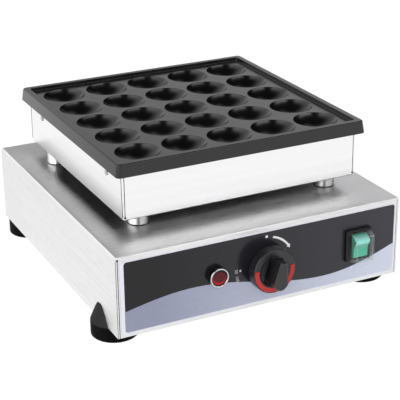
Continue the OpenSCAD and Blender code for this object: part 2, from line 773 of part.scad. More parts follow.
// Cast plate: a drafted rim round a shallow tray, cups, and lugs below
module cooking_plate() {
    tray_half = plate_w / 2 - rim_draft - rim_w;
    corner = plate_w / 2 - plate_corner_r;
    tray_corner = tray_half - tray_corner_r;
    reach = (cup_count - 1) / 2;
    color("darkslategray") translate([0, house_cy, 0]) difference() {
        union() {
            translate([0, 0, plate_z]) hull() for (sx = [-1, 1]) for (sy = [-1, 1])
                translate([sx * corner, sy * corner, 0]) rotate_extrude($fn = 32) polygon([
                    [0, 0], [plate_corner_r, 0], [plate_corner_r - rim_draft, rim_h - plate_edge],
                    [plate_corner_r - rim_draft - 0.3 * plate_edge, rim_h - 0.3 * plate_edge],
                    [plate_corner_r - rim_draft - plate_edge, rim_h], [0, rim_h]
                ]);
            translate([-block_w / 2, -block_w / 2, plate_bottom])
                cube([block_w, block_w, plate_z - plate_bottom + cut]);
            for (sx = [-1, 1]) for (sy = [-1, 1]) scale([sx, sy, 1])
                translate([block_w / 2 - lug_t, lug_y - lug_w / 2, plate_bottom - lug_h])
                    cube([lug_t, lug_w, lug_h + cut]);
        }
        translate([0, 0, tray_z]) hull() for (sx = [-1, 1]) for (sy = [-1, 1])
            translate([sx * tray_corner, sy * tray_corner, 0])
                cylinder(r1 = tray_corner_r - tray_draft, r2 = tray_corner_r, h = tray_depth + fit, $fn = 32);
        for (i = [-reach : reach]) for (j = [-reach : reach])
            translate([i * cup_pitch, j * cup_pitch, tray_z]) {
                translate([0, 0, cup_sphere_r - cup_depth]) sphere(cup_sphere_r);
                translate([0, 0, -cup_edge]) cylinder(
                    r1 = cup_d / 2 - cup_edge, r2 = cup_d / 2 + cup_edge + 2 * cut, h = cup_edge + cut);
            }
        for (sx = [-1, 1]) for (sy = [-1, 1])
            translate([sx * block_w / 2, sy * lug_y, plate_bottom - lug_screw_drop]) rotate([0, -sx * 90, 0])
                translate([0, 0, -cut]) cylinder(d = screw_d + 2 * fit, h = lug_t - lug_end + cut);
        for (sx = [-1, 1]) for (sy = [-1, 1])
            translate([sx * bar_screw_x, sy * bar_y, plate_bottom - cut])
                cylinder(d = clamp_screw_d + 2 * fit, h = clamp_screw_in + cut);
    }
}

module plate_screws() {
    inside = (house_w - block_w) / 2 + lug_t - lug_end - screw_short;
    color("lightgray") side_screw_places() union() {
        translate([0, 0, -inside]) cylinder(d = screw_d, h = inside);
        intersection() {
            cylinder(d = side_head_d, h = side_head_h);
            translate([0, 0, side_head_h - side_head_d]) sphere(side_head_d);
        }
    }
}

// Bent tube pressed up to the plate, in four runs
module heating_element() {
    r = run_pitch / 2;
    color("slategray") translate([0, house_cy, element_z]) union() {
        for (i = [-1.5 : 1.5]) {
            tail = abs(i) > 1 ? run_tail : 0;
            translate([i * run_pitch, run_half, 0]) rotate([90, 0, 0])
                cylinder(d = element_d, h = 2 * run_half + tail);
        }
        for (bend = [[-run_pitch, run_half, 0], [run_pitch, run_half, 0], [0, -run_half, 180]])
            translate([bend[0], bend[1], 0]) rotate(bend[2])
                rotate_extrude(angle = 180) translate([r, 0]) circle(d = element_d);
    }
}

module element_pins() {
    color("lightgray") for (s = [-1, 1]) translate([s * pin_x, pin_end_y, element_z])
        rotate([-90, 0, 0]) cylinder(d = pin_d, h = pin_l);
}

module clamp_bar(s) {
    color("gray") translate([0, house_cy + s * bar_y, bar_top - bar_t]) difference() {
        translate([-bar_l / 2, -bar_w / 2, 0]) cube([bar_l, bar_w, bar_t]);
        for (sx = [-1, 1]) translate([sx * bar_screw_x, 0, -cut])
            cylinder(d = clamp_screw_d + 2 * hole_slip, h = bar_t + 2 * cut);
    }
}

module clamp_bar_front() clamp_bar(-1);
module clamp_bar_back() clamp_bar(1);

module clamp_screws() {
    foot_z = bar_top - bar_t;
    length = plate_bottom + clamp_screw_in - screw_short - foot_z;
    color("lightgray") for (sx = [-1, 1]) for (sy = [-1, 1])
        translate([sx * bar_screw_x, house_cy + sy * bar_y, foot_z])
            pan_screw(clamp_screw_d, length, clamp_head_d, clamp_head_h);
}

module sensor_bulb() {
    color("peru") translate([0, bulb_y - bulb_l / 2, bulb_z]) rotate([-90, 0, 0])
        cylinder(d = bulb_d, h = bulb_l);
}

// Saddle that holds the bulb up to the plate
module bulb_clip() {
    outer = bulb_d / 2 + fit + clip_t;
    color("gray") translate([0, bulb_y - clip_w / 2, 0]) difference() {
        union() {
            translate([0, 0, bulb_z]) rotate([-90, 0, 0]) cylinder(r = outer, h = clip_w);
            translate([-outer - clip_wing, 0, plate_bottom - clip_t])
                cube([2 * outer + 2 * clip_wing, clip_w, clip_t]);
        }
        translate([-outer, -cut, plate_bottom]) cube([2 * outer, clip_w + 2 * cut, 2 * outer]);
        translate([0, -cut, bulb_z]) rotate([-90, 0, 0]) cylinder(r = bulb_d / 2 + fit, h = clip_w + 2 * cut);
        translate([-bulb_d / 2 - fit, -cut, bulb_z]) cube([bulb_d + 2 * fit, clip_w + 2 * cut, 2 * outer]);
    }
}

module capillary_tube() {
    color("peru") tube(capillary_route, capillary_d);
}

// Thin printed film on the front wall
module control_overlay() {
    mid_z = foot_h + overlay_foot + overlay_h / 2;
    color("dimgray") difference() {
        translate([0, front_y, mid_z]) rotate([90, 0, 0])
            linear_extrude(overlay_t) round_rect(overlay_w, overlay_h, overlay_r);
        panel_holes(sheet_t + overlay_t);
    }
}

module thermostat_body() {
    color("wheat") difference() {
        translate([knob_x - stat_w / 2, inner_y, knob_z - stat_w / 2]) cube([stat_w, stat_d, stat_w]);
        translate([knob_x, inner_y - cut, knob_z]) rotate([-90, 0, 0])
            cylinder(d = spindle_d + 2 * run_fit, h = spindle_in + slip + cut);
        for (s = [-1, 1]) translate([knob_x + s * stat_screw_pitch / 2, inner_y - cut, knob_z])
            rotate([-90, 0, 0]) cylinder(d = screw_d + 2 * fit, h = stat_screw_in + cut);
    }
}

module thermostat_screws() {
    head_h = 1.2;
    length = overlay_t + sheet_t + stat_screw_in - screw_short;
    color("lightgray") for (s = [-1, 1]) translate([knob_x + s * stat_screw_pitch / 2, panel_y, knob_z])
        rotate([-90, 0, 0]) pan_screw(screw_d, length, screw_head_d, head_h);
}

// Turning spindle with a flat for the knob
module thermostat_spindle() {
    reach = knob_gap + spindle_out;
    color("gold") on_panel(knob_x, knob_z) difference() {
        translate([0, 0, -overlay_t - sheet_t - spindle_in])
            cylinder(d = spindle_d, h = overlay_t + sheet_t + spindle_in + reach);
        translate([-spindle_d, spindle_d / 2 - spindle_flat, knob_gap])
            cube([2 * spindle_d, spindle_d, reach]);
    }
}

// The red inlay's shape, in the knob's own frame
module band_shape(grow) {
    rotate(180 - band_rise - grow) rotate_extrude(angle = 180 + 2 * (band_rise + grow))
        translate([band_in_r - grow * fit, skirt_h - band_t])
            square([band_out_r - band_in_r + 2 * grow * fit, band_t + grow * cut]);
}

// Outline of the grip at one depth, from [top, half width there, foot, half width there, round of the foot]
function grip_outline(g, in = 0) = [
    [in - g[1], g[0] - in], [g[1] - in, g[0] - in], [g[3] - in, g[2]],
    [0.62 * (g[3] - in), g[2] - 0.75 * (g[4] - in)], [0.25 * (g[3] - in), g[2] - g[4] + in],
    [-0.25 * (g[3] - in), g[2] - g[4] + in], [-0.62 * (g[3] - in), g[2] - 0.75 * (g[4] - in)],
    [in - g[3], g[2]]
];

// Moulded knob: stepped skirt, scooped face and a grip that narrows to its top
module knob() {
    slice = 0.01;
    r = knob_d / 2;
    floor_z = skirt_h - dish_depth;
    dish_slope = (dish_r - dish_floor_r) / dish_depth;
    grip_z = floor_z - grip_sink;
    color("dimgray") on_panel(knob_x, knob_z) translate([0, 0, knob_gap]) difference() {
        union() {
            difference() {
                rotate_extrude() polygon([
                    [0, 0], [r - skirt_step, 0], [r - skirt_step, skirt_back], [r + skirt_lean, skirt_back],
                    [r, skirt_h - skirt_edge], [r - skirt_edge, skirt_h], [0, skirt_h]
                ]);
                translate([0, 0, floor_z])
                    cylinder(r1 = dish_floor_r, r2 = dish_r + cut * dish_slope, h = dish_depth + cut);
                translate([0, 0, -cut]) difference() {
                    cylinder(r = knob_hollow_r, h = floor_z - knob_floor + cut);
                    cylinder(r = knob_hub_r, h = floor_z + cut);
                }
                band_shape(1);
            }
            rotate(-grip_turn) hull() {
                translate([0, 0, grip_z]) linear_extrude(slice) polygon(grip_outline(grip_root));
                translate([0, 0, knob_depth - grip_edge - slice]) linear_extrude(slice)
                    polygon(grip_outline(grip_face));
                translate([0, 0, knob_depth - slice]) linear_extrude(slice)
                    polygon(grip_outline(grip_face, grip_edge));
            }
        }
        translate([0, 0, -cut]) difference() {
            cylinder(d = spindle_d + 2 * fit, h = spindle_out + slip + cut);
            translate([-spindle_d, spindle_d / 2 - spindle_flat + fit, 0])
                cube([2 * spindle_d, spindle_d, spindle_out + 2 * cut]);
        }
    }
}

module knob_band() {
    color("crimson") on_panel(knob_x, knob_z) translate([0, 0, knob_gap]) band_shape(0);
}

// Black barrel of the lamp, with a shoulder for the ring and a seat for the lens
module lamp_body() {
    color("black") on_panel(lamp_x) difference() {
        union() {
            translate([0, 0, -lamp_back]) cylinder(d = lamp_barrel_d, h = lamp_back + cut);
            cylinder(d = lamp_d - 2 * lamp_ring_out, h = lamp_shoulder);
            cylinder(r = lamp_nose_r, h = lamp_h - lamp_recess);
        }
        translate([0, 0, lamp_lens_seat]) cylinder(r = lamp_lens_r + fit, h = lamp_h);
        translate([0, 0, lamp_bulb_out - lamp_bulb_l])
            cylinder(d = lamp_bulb_d + 2 * fit, h = lamp_h + lamp_bulb_l);
    }
}

module lamp_bezel() {
    edge = 0.5;
    inner = lamp_nose_r + fit;
    outer = lamp_d / 2;
    color("white") on_panel(lamp_x) rotate_extrude() polygon([
        [inner, lamp_shoulder], [outer, lamp_shoulder], [outer, lamp_h - edge], [outer - edge, lamp_h],
        [inner + edge, lamp_h], [inner, lamp_h - edge]
    ]);
}

module lamp_lens() {
    rim = lamp_h - lamp_lens_dome - lamp_recess;
    dome_r = (lamp_lens_r * lamp_lens_r + lamp_lens_dome * lamp_lens_dome) / (2 * lamp_lens_dome);
    color("darkred") on_panel(lamp_x) intersection() {
        translate([0, 0, lamp_lens_seat]) cylinder(r = lamp_lens_r, h = lamp_h);
        translate([0, 0, rim + lamp_lens_dome - dome_r]) sphere(dome_r);
    }
}

module lamp_nut() {
    color("black") on_panel(lamp_x) translate([0, 0, -overlay_t - sheet_t - lamp_nut_h])
        hex_nut(lamp_nut_d, lamp_nut_h, lamp_barrel_d + 2 * fit);
}

module lamp_bulb() {
    color("orange") on_panel(lamp_x) translate([0, 0, lamp_bulb_out - lamp_bulb_l])
        cylinder(d = lamp_bulb_d, h = lamp_bulb_l);
}

// Switch case with its bezel, and a well that the rocker tilts in
module switch_body() {
    case_w = well_w + 2 * switch_wall;
    case_h = well_h + 2 * switch_wall;
    color("black") on_panel(switch_x) difference() {
        union() {
            translate([-case_w / 2, -case_h / 2, -switch_back]) cube([case_w, case_h, switch_back + cut]);
            linear_extrude(bezel_t - bezel_edge) round_rect(bezel_w, bezel_h, bezel_r);
            linear_extrude(bezel_t) round_rect(bezel_w - 2 * bezel_edge, bezel_h - 2 * bezel_edge, bezel_r);
        }
        translate([-well_w / 2, -well_h / 2, -well_floor]) cube([well_w, well_h, well_floor + bezel_t + cut]);
        translate([-case_w / 2 - cut, 0, 0]) rotate([0, 90, 0])
            cylinder(d = pivot_d + 2 * run_fit, h = case_w + 2 * cut);
    }
}

// Rocker drawn level and then tilted, with its upper end out
module switch_rocker() {
    h = rocker_h / 2;
    color("mediumseagreen") on_panel(switch_x) rotate([rocker_lean, 0, 0]) difference() {
        translate([-rocker_w / 2, 0, 0]) rotate([90, 0, 90]) linear_extrude(rocker_w) polygon([
            [-h, rocker_side], [-nose_y - nose_w, rocker_nose - nose_drop], [-nose_y, rocker_nose],
            [0, rocker_nose - valley],
            [nose_y, rocker_nose], [nose_y + nose_w, rocker_nose - nose_drop], [h, rocker_side],
            [h - rocker_side, -rocker_deep], [rocker_side - h, -rocker_deep]
        ]);
        translate([-rocker_w, 0, 0]) rotate([0, 90, 0]) cylinder(d = pivot_d + 2 * run_fit, h = 2 * rocker_w);
    }
}

module switch_pin() {
    length = well_w + 2 * switch_wall - 2 * fit;
    color("lightgray") on_panel(switch_x) translate([-length / 2, 0, 0]) rotate([0, 90, 0])
        cylinder(d = pivot_d, h = length);
}

// Clear moulded cap over the rocker, on the face of the bezel
module switch_hood() {
    front_w = hood_foot_w - 2 * hood_lean;
    front_h = hood_foot_h - 2 * hood_lean;
    color([0.85, 0.9, 0.9, 0.3]) on_panel(switch_x) translate([0, 0, bezel_t]) difference() {
        union() {
            hood_block(hood_foot_w, hood_foot_h, front_w, front_h, hood_h - bezel_t);
            linear_extrude(hood_rim)
                round_rect(bezel_w - 2 * hood_rim_inset, bezel_h - 2 * hood_rim_inset, hood_rim_inset);
        }
        translate([0, 0, -fit]) hood_block(hood_foot_w - 2 * hood_t, hood_foot_h - 2 * hood_t,
            front_w - 2 * hood_t, front_h - 2 * hood_t, hood_h - bezel_t - hood_t + fit);
    }
}

module hood_block(foot_w, foot_l, front_w, front_l, h) {
    slice = 0.01;
    hull() {
        translate([-foot_w / 2, -foot_l / 2, 0]) cube([foot_w, foot_l, slice]);
        translate([-front_w / 2, -front_l / 2, h - slice]) cube([front_w, front_l, slice]);
    }
}

module switch_terminals() {
    color("gold") on_panel(switch_x) for (sx = [-1, 1]) for (sy = [-1, 1])
        translate([sx * blade_x - blade_t / 2, sy * blade_z - blade_w / 2, -switch_back - blade_l])
            cube([blade_t, blade_w, blade_l]);
}

// A shape drawn with +Z out of the back wall, at the gland
module at_gland() {
    translate([gland_x, back_y, foot_h + gland_z]) rotate([-90, 0, 0]) children();
}

module gland_body() {
    color("dimgray") at_gland() difference() {
        union() {
            cylinder(d = gland_hex_d, h = gland_hex_h, $fn = 6);
            translate([0, 0, -gland_inside]) cylinder(d = gland_thread_d, h = gland_inside + cut);
            cylinder(d = gland_thread_d, h = gland_reach - gland_nose);
        }
        translate([0, 0, -gland_inside - cut])
            cylinder(d = gland_thread_d - 2 * gland_wall, h = gland_inside + gland_reach + cut);
    }
}

module gland_locknut() {
    color("dimgray") at_gland() translate([0, 0, -sheet_t - gland_nut_h])
        hex_nut(gland_cap_d, gland_nut_h, gland_thread_d + 2 * fit);
}

module gland_cap() {
    foot_z = gland_hex_h + gland_cap_gap;
    top = gland_reach - gland_nose;
    color("dimgray") at_gland() difference() {
        union() {
            translate([0, 0, foot_z]) cylinder(d = gland_cap_d, h = top - foot_z, $fn = 6);
            translate([0, 0, top])
                cylinder(d1 = gland_cap_d - 2 * gland_nose_in, d2 = gland_nose_d, h = gland_nose);
        }
        translate([0, 0, foot_z - cut]) cylinder(d = gland_thread_d + 2 * fit, h = top - foot_z + cut + fit);
        cylinder(d = gland_thread_d - 2 * gland_wall - 2 * gland_lip, h = gland_reach + cut);
    }
}

module gland_seal() {
    color("black") at_gland() translate([0, 0, gland_seal_start]) difference() {
        cylinder(d = gland_thread_d - 2 * gland_wall - 2 * fit, h = gland_seal_l);
        translate([0, 0, -cut]) cylinder(d = gland_bore_d, h = gland_seal_l + 2 * cut);
    }
}

module terminal_block() {
    color("ivory") translate([block_x - block_l / 2, block_y - block_dp / 2, cover_top]) difference() {
        cube([block_l, block_dp, block_h]);
        for (i = [-1, 1])
            translate([block_l / 2 + i * pole_pitch, block_dp / 2 + pole_back, block_h - pole_deep])
                cylinder(d = pole_screw_d + 2 * fit, h = pole_deep + cut);
    }
}

module terminal_screws() {
    color("gold") for (i = [-1, 1])
        translate([block_x + i * pole_pitch, block_y + pole_back, cover_top + block_h - pole_deep])
            cylinder(d = pole_screw_d, h = pole_screw_l);
}

module earth_stud() {
    color("gold") translate([earth_x, earth_y, foot_h]) union() {
        cylinder(d = earth_d, h = earth_h);
        translate([0, 0, -screw_head_h]) cylinder(d = earth_nut_d, h = screw_head_h);
    }
}

module earth_nut() {
    color("gold") translate([earth_x, earth_y, cover_top])
        hex_nut(earth_nut_d, earth_nut_h, earth_d + 2 * fit);
}

module heater_wires() {
    color("firebrick") {
        tube(heater_left_route, wire_d);
        tube(heater_right_route, wire_d);
    }
}

module supply_wires() {
    color("royalblue") {
        tube(supply_left_route, wire_d);
        tube(supply_right_route, wire_d);
        tube(switched_route, wire_d);
    }
}

module lamp_wires() {
    color("black") {
        tube(lamp_left_route, thin_wire_d);
        tube(lamp_right_route, thin_wire_d);
    }
}

base_shell();
bottom_cover();
cover_screws();
foot_front_left();
foot_front_right();
foot_back_left();
foot_back_right();
foot_screws();
foot_nuts();
post_front_left();
post_front_right();
post_back_left();
post_back_right();
post_bolts();
post_washers();
post_nuts();
upper_housing();
insulating_pad();
wire_sleeve();
cooking_plate();
plate_screws();
heating_element();
element_pins();
clamp_bar_front();
clamp_bar_back();
clamp_screws();
sensor_bulb();
bulb_clip();
capillary_tube();
control_overlay();
thermostat_body();
thermostat_screws();
thermostat_spindle();
knob();
knob_band();
lamp_body();
lamp_bezel();
lamp_lens();
lamp_nut();
lamp_bulb();
switch_body();
switch_rocker();
switch_pin();
switch_hood();
switch_terminals();
gland_body();
gland_locknut();
gland_cap();
gland_seal();
terminal_block();
terminal_screws();
earth_stud();
earth_nut();
heater_wires();
supply_wires();
lamp_wires();
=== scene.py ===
import json
import math

import bmesh
import bpy
from mathutils import Matrix, Quaternion, Vector


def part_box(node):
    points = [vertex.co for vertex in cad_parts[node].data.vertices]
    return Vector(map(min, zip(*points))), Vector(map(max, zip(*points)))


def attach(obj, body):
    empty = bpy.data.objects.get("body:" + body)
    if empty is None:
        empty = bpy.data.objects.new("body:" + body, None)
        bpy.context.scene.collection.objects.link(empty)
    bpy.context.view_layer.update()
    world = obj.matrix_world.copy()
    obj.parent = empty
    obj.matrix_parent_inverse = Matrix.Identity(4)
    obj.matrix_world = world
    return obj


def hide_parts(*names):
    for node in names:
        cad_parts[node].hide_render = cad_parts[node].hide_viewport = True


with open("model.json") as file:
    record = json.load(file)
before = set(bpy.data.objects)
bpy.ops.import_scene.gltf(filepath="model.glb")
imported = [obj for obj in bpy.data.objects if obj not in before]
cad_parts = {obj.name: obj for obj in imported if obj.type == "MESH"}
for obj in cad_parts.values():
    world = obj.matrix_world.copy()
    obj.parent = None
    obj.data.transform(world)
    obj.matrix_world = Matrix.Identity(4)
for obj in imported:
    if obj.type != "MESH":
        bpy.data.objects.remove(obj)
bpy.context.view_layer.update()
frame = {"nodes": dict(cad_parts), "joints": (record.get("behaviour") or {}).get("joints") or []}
nodes = frame["nodes"]
scene = bpy.context.scene
scene.view_settings.view_transform = "Standard"
MM = 0.001

# Camera: a long lens in front of the grill, to its left and above the plate.
# It is rolled a touch to the right; places are measured from the foot of the base's front wall.
base_front = Vector((0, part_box("base_shell")[0].y, 0))
camera_at = base_front + Vector((-559.1, -999.8, 608.9)) * MM
camera_aim = base_front + Vector((-32.1, 78.4, 109.1)) * MM
camera_roll = math.radians(-0.72)
camera = bpy.data.objects.new("camera", bpy.data.cameras.new("camera"))
camera.data.sensor_width = 36
camera.data.lens = 113.8
camera.location = camera_at
camera.rotation_mode = "QUATERNION"
camera.rotation_quaternion = ((camera_aim - camera_at).to_track_quat("-Z", "Y")
                              @ Quaternion((0, 0, 1), camera_roll))
scene.collection.objects.link(camera)
scene.camera = camera

# Studio: a low lit panel on either hand, a pale wall at the left, a dark ceiling and a dark camera stand,
# which is what steel and gloss mirror. The floor is white paper that keeps a faint shadow.


def linear(hex_colour):
    """The linear colour of an sRGB hex value."""
    parts = [int(hex_colour[i:i + 2], 16) / 255 for i in (1, 3, 5)]
    return [c / 12.92 if c <= 0.04045 else ((c + 0.055) / 1.055) ** 2.4 for c in parts] + [1.0]


def add(tree, kind, links=None, **settings):
    """Adds a node with its settings. links maps an input to a value or to another node's output."""
    node = tree.nodes.new(kind)
    for name, value in settings.items():
        setattr(node, name, value)
    for name, value in (links or {}).items():
        if isinstance(value, bpy.types.NodeSocket):
            tree.links.new(value, node.inputs[name])
        else:
            node.inputs[name].default_value = value
    return node


def seen_directly(tree):
    """1 for the rays that show the background: from the camera, off gloss and through glass."""
    path = add(tree, "ShaderNodeLightPath")
    glossy = add(tree, "ShaderNodeMath", {0: path.outputs["Is Camera Ray"], 1: path.outputs["Is Glossy Ray"]},
                 operation="MAXIMUM")
    return path, add(tree, "ShaderNodeMath", {0: glossy.outputs[0], 1: path.outputs["Is Transmission Ray"]},
                     operation="MAXIMUM")


white_room = linear("#ffffff")
dark_ceiling = linear("#1c1c1e")
left_wall = (1.2, 1.2, 1.2, 1.0)
left_panel = (2.8, 2.8, 2.8, 1.0)
right_panel = (3.6, 3.6, 3.6, 1.0)
room_light = 0.42
panel_lean = 0.42
up = Vector((0, 0, 1))
towards_camera = (camera_at - camera_aim).normalized()
camera_side = Vector((towards_camera.x, towards_camera.y, 0)).normalized()
beside_camera = camera_side.cross(up)
panel_tilt = (up - panel_lean * camera_side).normalized()
world = bpy.data.worlds.new("studio")
world.use_nodes = True
scene.world = world
tree = world.node_tree
tree.nodes.clear()
path, direct = seen_directly(tree)
direction = add(tree, "ShaderNodeTexCoord").outputs["Generated"]
height = add(tree, "ShaderNodeSeparateXYZ", {0: direction}).outputs["Z"]


def towards(axis):
    """How far a direction in the room points along an axis, from -1 to 1."""
    share = add(tree, "ShaderNodeVectorMath", {0: direction, 1: axis}, operation="DOT_PRODUCT")
    return share.outputs["Value"]


def step(value, start, full):
    """Goes from 0 to 1 as a value goes from start to full, in the tree at hand."""
    return add(tree, "ShaderNodeMapRange", {"Value": value, "From Min": start, "From Max": full}).outputs[0]


def both(first, second):
    """Where two steps are both full, in the tree at hand."""
    return add(tree, "ShaderNodeMath", {0: first, 1: second}, operation="MULTIPLY").outputs[0]


def over(below, above, share):
    """Lays a share of one colour over another, in the tree at hand."""
    return add(tree, "ShaderNodeMix", {"Factor": share, "A": below, "B": above}, data_type="RGBA").outputs[2]


# Each thing in the room is laid over those before it, between limits along these axes and in height.
sideways = towards(beside_camera)
off_axis = add(tree, "ShaderNodeMath", {0: sideways}, operation="ABSOLUTE").outputs[0]
nearness = towards(camera_side)
roof = towards(panel_tilt)
back = over(linear("#d4d4d6"), linear("#f2f2f4"), step(sideways, 0.15, -0.15))
room = over(back, dark_ceiling, step(height, 0.66, 0.88))
room = over(room, dark_ceiling, step(sideways, -0.3, -0.5))
left = over(left_wall, left_panel, step(nearness, -0.3, 0.3))
room = over(room, left, both(step(sideways, 0.16, 0.34), step(roof, 0.8, 0.5)))
right = both(step(sideways, -0.18, -0.3), step(nearness, -0.45, -0.15))
room = over(room, linear("#c0c0c2"), both(right, step(height, 0.58, 0.52)))
room = over(room, right_panel, both(both(right, step(height, 0.52, 0.58)), step(roof, 0.68, 0.54)))
room = over(room, dark_ceiling, both(step(off_axis, 0.32, 0.18), step(nearness, 0.3, 0.5)))
room = over(white_room, room, step(height, 0.04, 0.14))
far_foot = both(step(nearness, -0.2, -0.5), step(sideways, 0.5, 0.35))
room = over(room, dark_ceiling, both(step(height, 0.2, 0.1), far_foot))
shown = over(room, white_room, path.outputs["Is Camera Ray"])
strength = add(tree, "ShaderNodeMapRange", {"Value": direct.outputs[0], "To Min": room_light, "To Max": 1.0})
background = add(tree, "ShaderNodeBackground", {"Color": shown, "Strength": strength.outputs[0]})
add(tree, "ShaderNodeOutputWorld", {"Surface": background.outputs[0]})

floor_half = 4.0
floor_mesh = bpy.data.meshes.new("floor")
floor_mesh.from_pydata([(-floor_half, -floor_half, 0), (floor_half, -floor_half, 0),
                        (floor_half, floor_half, 0), (-floor_half, floor_half, 0)], [], [(0, 1, 2, 3)])
floor = bpy.data.objects.new("floor", floor_mesh)
scene.collection.objects.link(floor)
# White paper: it shows as white as the room, and shadows only tint it.
paper_glow = 0.94
paper = bpy.data.materials.new("white_paper")
paper.use_nodes = True
tree = paper.node_tree
tree.nodes.clear()
path, direct = seen_directly(tree)
albedo = over(linear("#eeeeee"), linear("#7c7c7c"), direct.outputs[0])
matt = add(tree, "ShaderNodeBsdfDiffuse", {"Color": albedo})
glow = add(tree, "ShaderNodeEmission", {"Color": white_room, "Strength": both(direct.outputs[0], paper_glow)})
lit_paper = add(tree, "ShaderNodeAddShader", {0: matt.outputs[0], 1: glow.outputs[0]})
add(tree, "ShaderNodeOutputMaterial", {"Surface": lit_paper.outputs[0]})
floor_mesh.materials.append(paper)

key_at = Vector((-1.0, -2.1, 1.3))
key_aim = Vector((0, 0, 0.1))
key = bpy.data.objects.new("key", bpy.data.lights.new("key", "AREA"))
key.data.size = 1.4
key.data.energy = 30
key.location = key_at
key.rotation_mode = "QUATERNION"
key.rotation_quaternion = (key_aim - key_at).to_track_quat("-Z", "Y")
key.visible_glossy = False
scene.collection.objects.link(key)

# Feet: four solid rubber feet, compression moulded, each held up into the base by one screw.
# A flat seat carries the base and a tapering lip, with painted light in grey on its upper faces, stands up
# outside its wall.


def surface(name, colour, **sockets):
    """A material with one Principled shader, and its uniform values set on the shader."""
    material = bpy.data.materials.new(name)
    material.use_nodes = True
    shader = material.node_tree.nodes["Principled BSDF"]
    shader.inputs["Base Color"].default_value = linear(colour)
    for socket, value in sockets.items():
        shader.inputs[socket.replace("_", " ")].default_value = value
    return material, material.node_tree, shader


def grained(tree, shader, grit_mm, depth_mm, rough_low, rough_high, detail=3.0):
    """A fine grit: bumps of one size, and a gloss that wanders a little over a patch of ten grits."""
    place = add(tree, "ShaderNodeTexCoord").outputs["Object"]
    grit = add(tree, "ShaderNodeTexNoise", {"Vector": place, "Scale": 1 / (grit_mm * MM), "Detail": detail})
    patch = add(tree, "ShaderNodeTexNoise", {"Vector": place, "Scale": 0.1 / (grit_mm * MM), "Detail": 2.0})
    bump = add(tree, "ShaderNodeBump", {"Height": grit.outputs[0], "Distance": depth_mm * MM,
                                        "Strength": 1.0})
    gloss = add(tree, "ShaderNodeMapRange", {"Value": patch.outputs[0], "From Min": 0.3, "From Max": 0.7,
                                             "To Min": rough_low, "To Max": rough_high})
    tree.links.new(bump.outputs[0], shader.inputs["Normal"])
    tree.links.new(gloss.outputs[0], shader.inputs["Roughness"])
    return place


def piece_of(name, mesh, material, body, slot, *stands_for):
    """An object from a mesh in the frame's own coordinates, riding on a body."""
    piece = bpy.data.objects.new(name, mesh)
    mesh.materials.clear()
    mesh.materials.append(material)
    scene.collection.objects.link(piece)
    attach(piece, body)
    if stands_for:
        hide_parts(*stands_for)
    return piece


def rounded_copy(node, voxel_mm, rounds, fill=None):
    """A CAD solid's mesh with its edges rounded over, as a mould leaves them.

    fill(bm) may add to the solid before that."""
    mesh = nodes[node].data.copy()
    work = bpy.data.objects.new("work", mesh)
    scene.collection.objects.link(work)
    bm = bmesh.new()
    bm.from_mesh(mesh)
    bmesh.ops.remove_doubles(bm, verts=bm.verts, dist=1e-6)
    if fill:
        fill(bm)
    bm.to_mesh(mesh)
    bm.free()
    remesh = work.modifiers.new("remesh", "REMESH")
    remesh.mode = "VOXEL"
    remesh.voxel_size = voxel_mm * MM
    smooth = work.modifiers.new("smooth", "SMOOTH")
    smooth.iterations = rounds
    made = bpy.data.meshes.new_from_object(work.evaluated_get(bpy.context.evaluated_depsgraph_get()))
    bpy.data.objects.remove(work)
    made.shade_smooth()
    return made


# Rubber: near black and dull, with painted light in grey on the faces that look up.
rubber, tree, shader = surface("moulded_rubber", "#0d0d0e", IOR=1.16)
grained(tree, shader, 0.7, 0.02, 0.6, 0.72)
facing = add(tree, "ShaderNodeSeparateXYZ", {0: add(tree, "ShaderNodeNewGeometry").outputs["Normal"]})
lit_top_share = step(facing.outputs["Z"], 0.1, 0.35)
tree.links.new(over(linear("#060606"), linear("#343435"), lit_top_share), shader.inputs["Base Color"])
corners = ("front_left", "front_right", "back_left", "back_right")
for corner in corners:
    foot = "foot_" + corner
    piece_of("rubber_" + foot, rounded_copy(foot, voxel_mm=0.7, rounds=3), rubber, "cooker", "foot_rubber",
             foot)

# Fasteners: zinc plated screws, bolts, washers and nuts, rolled and turned.
# Thin plating leaves a cool, slightly cloudy shine.


def dress(material, *names):
    """Gives CAD nodes a material in place of the plain one they come with."""
    for name in names:
        nodes[name].data.materials.clear()
        nodes[name].data.materials.append(material)


zinc, tree, shader = surface("zinc_plate", "#b9bcc0", Metallic=1.0)
grained(tree, shader, 0.5, 0.004, 0.26, 0.4)
dress(zinc, "foot_screws", "foot_nuts", "cover_screws", "post_bolts", "post_washers", "post_nuts",
      "clamp_screws", "thermostat_screws", "element_pins", "switch_pin", "bulb_clip", "clamp_bar_front",
      "clamp_bar_back")

# Base: one sheet of stainless steel, brushed with a grit belt along its width and then folded.
# The grain runs across the top and round the walls, so reflections smear across it.
# The cover below it and the sleeve for the wires are plain mill sheet, greyer and less streaked.
grain_along = 0.02


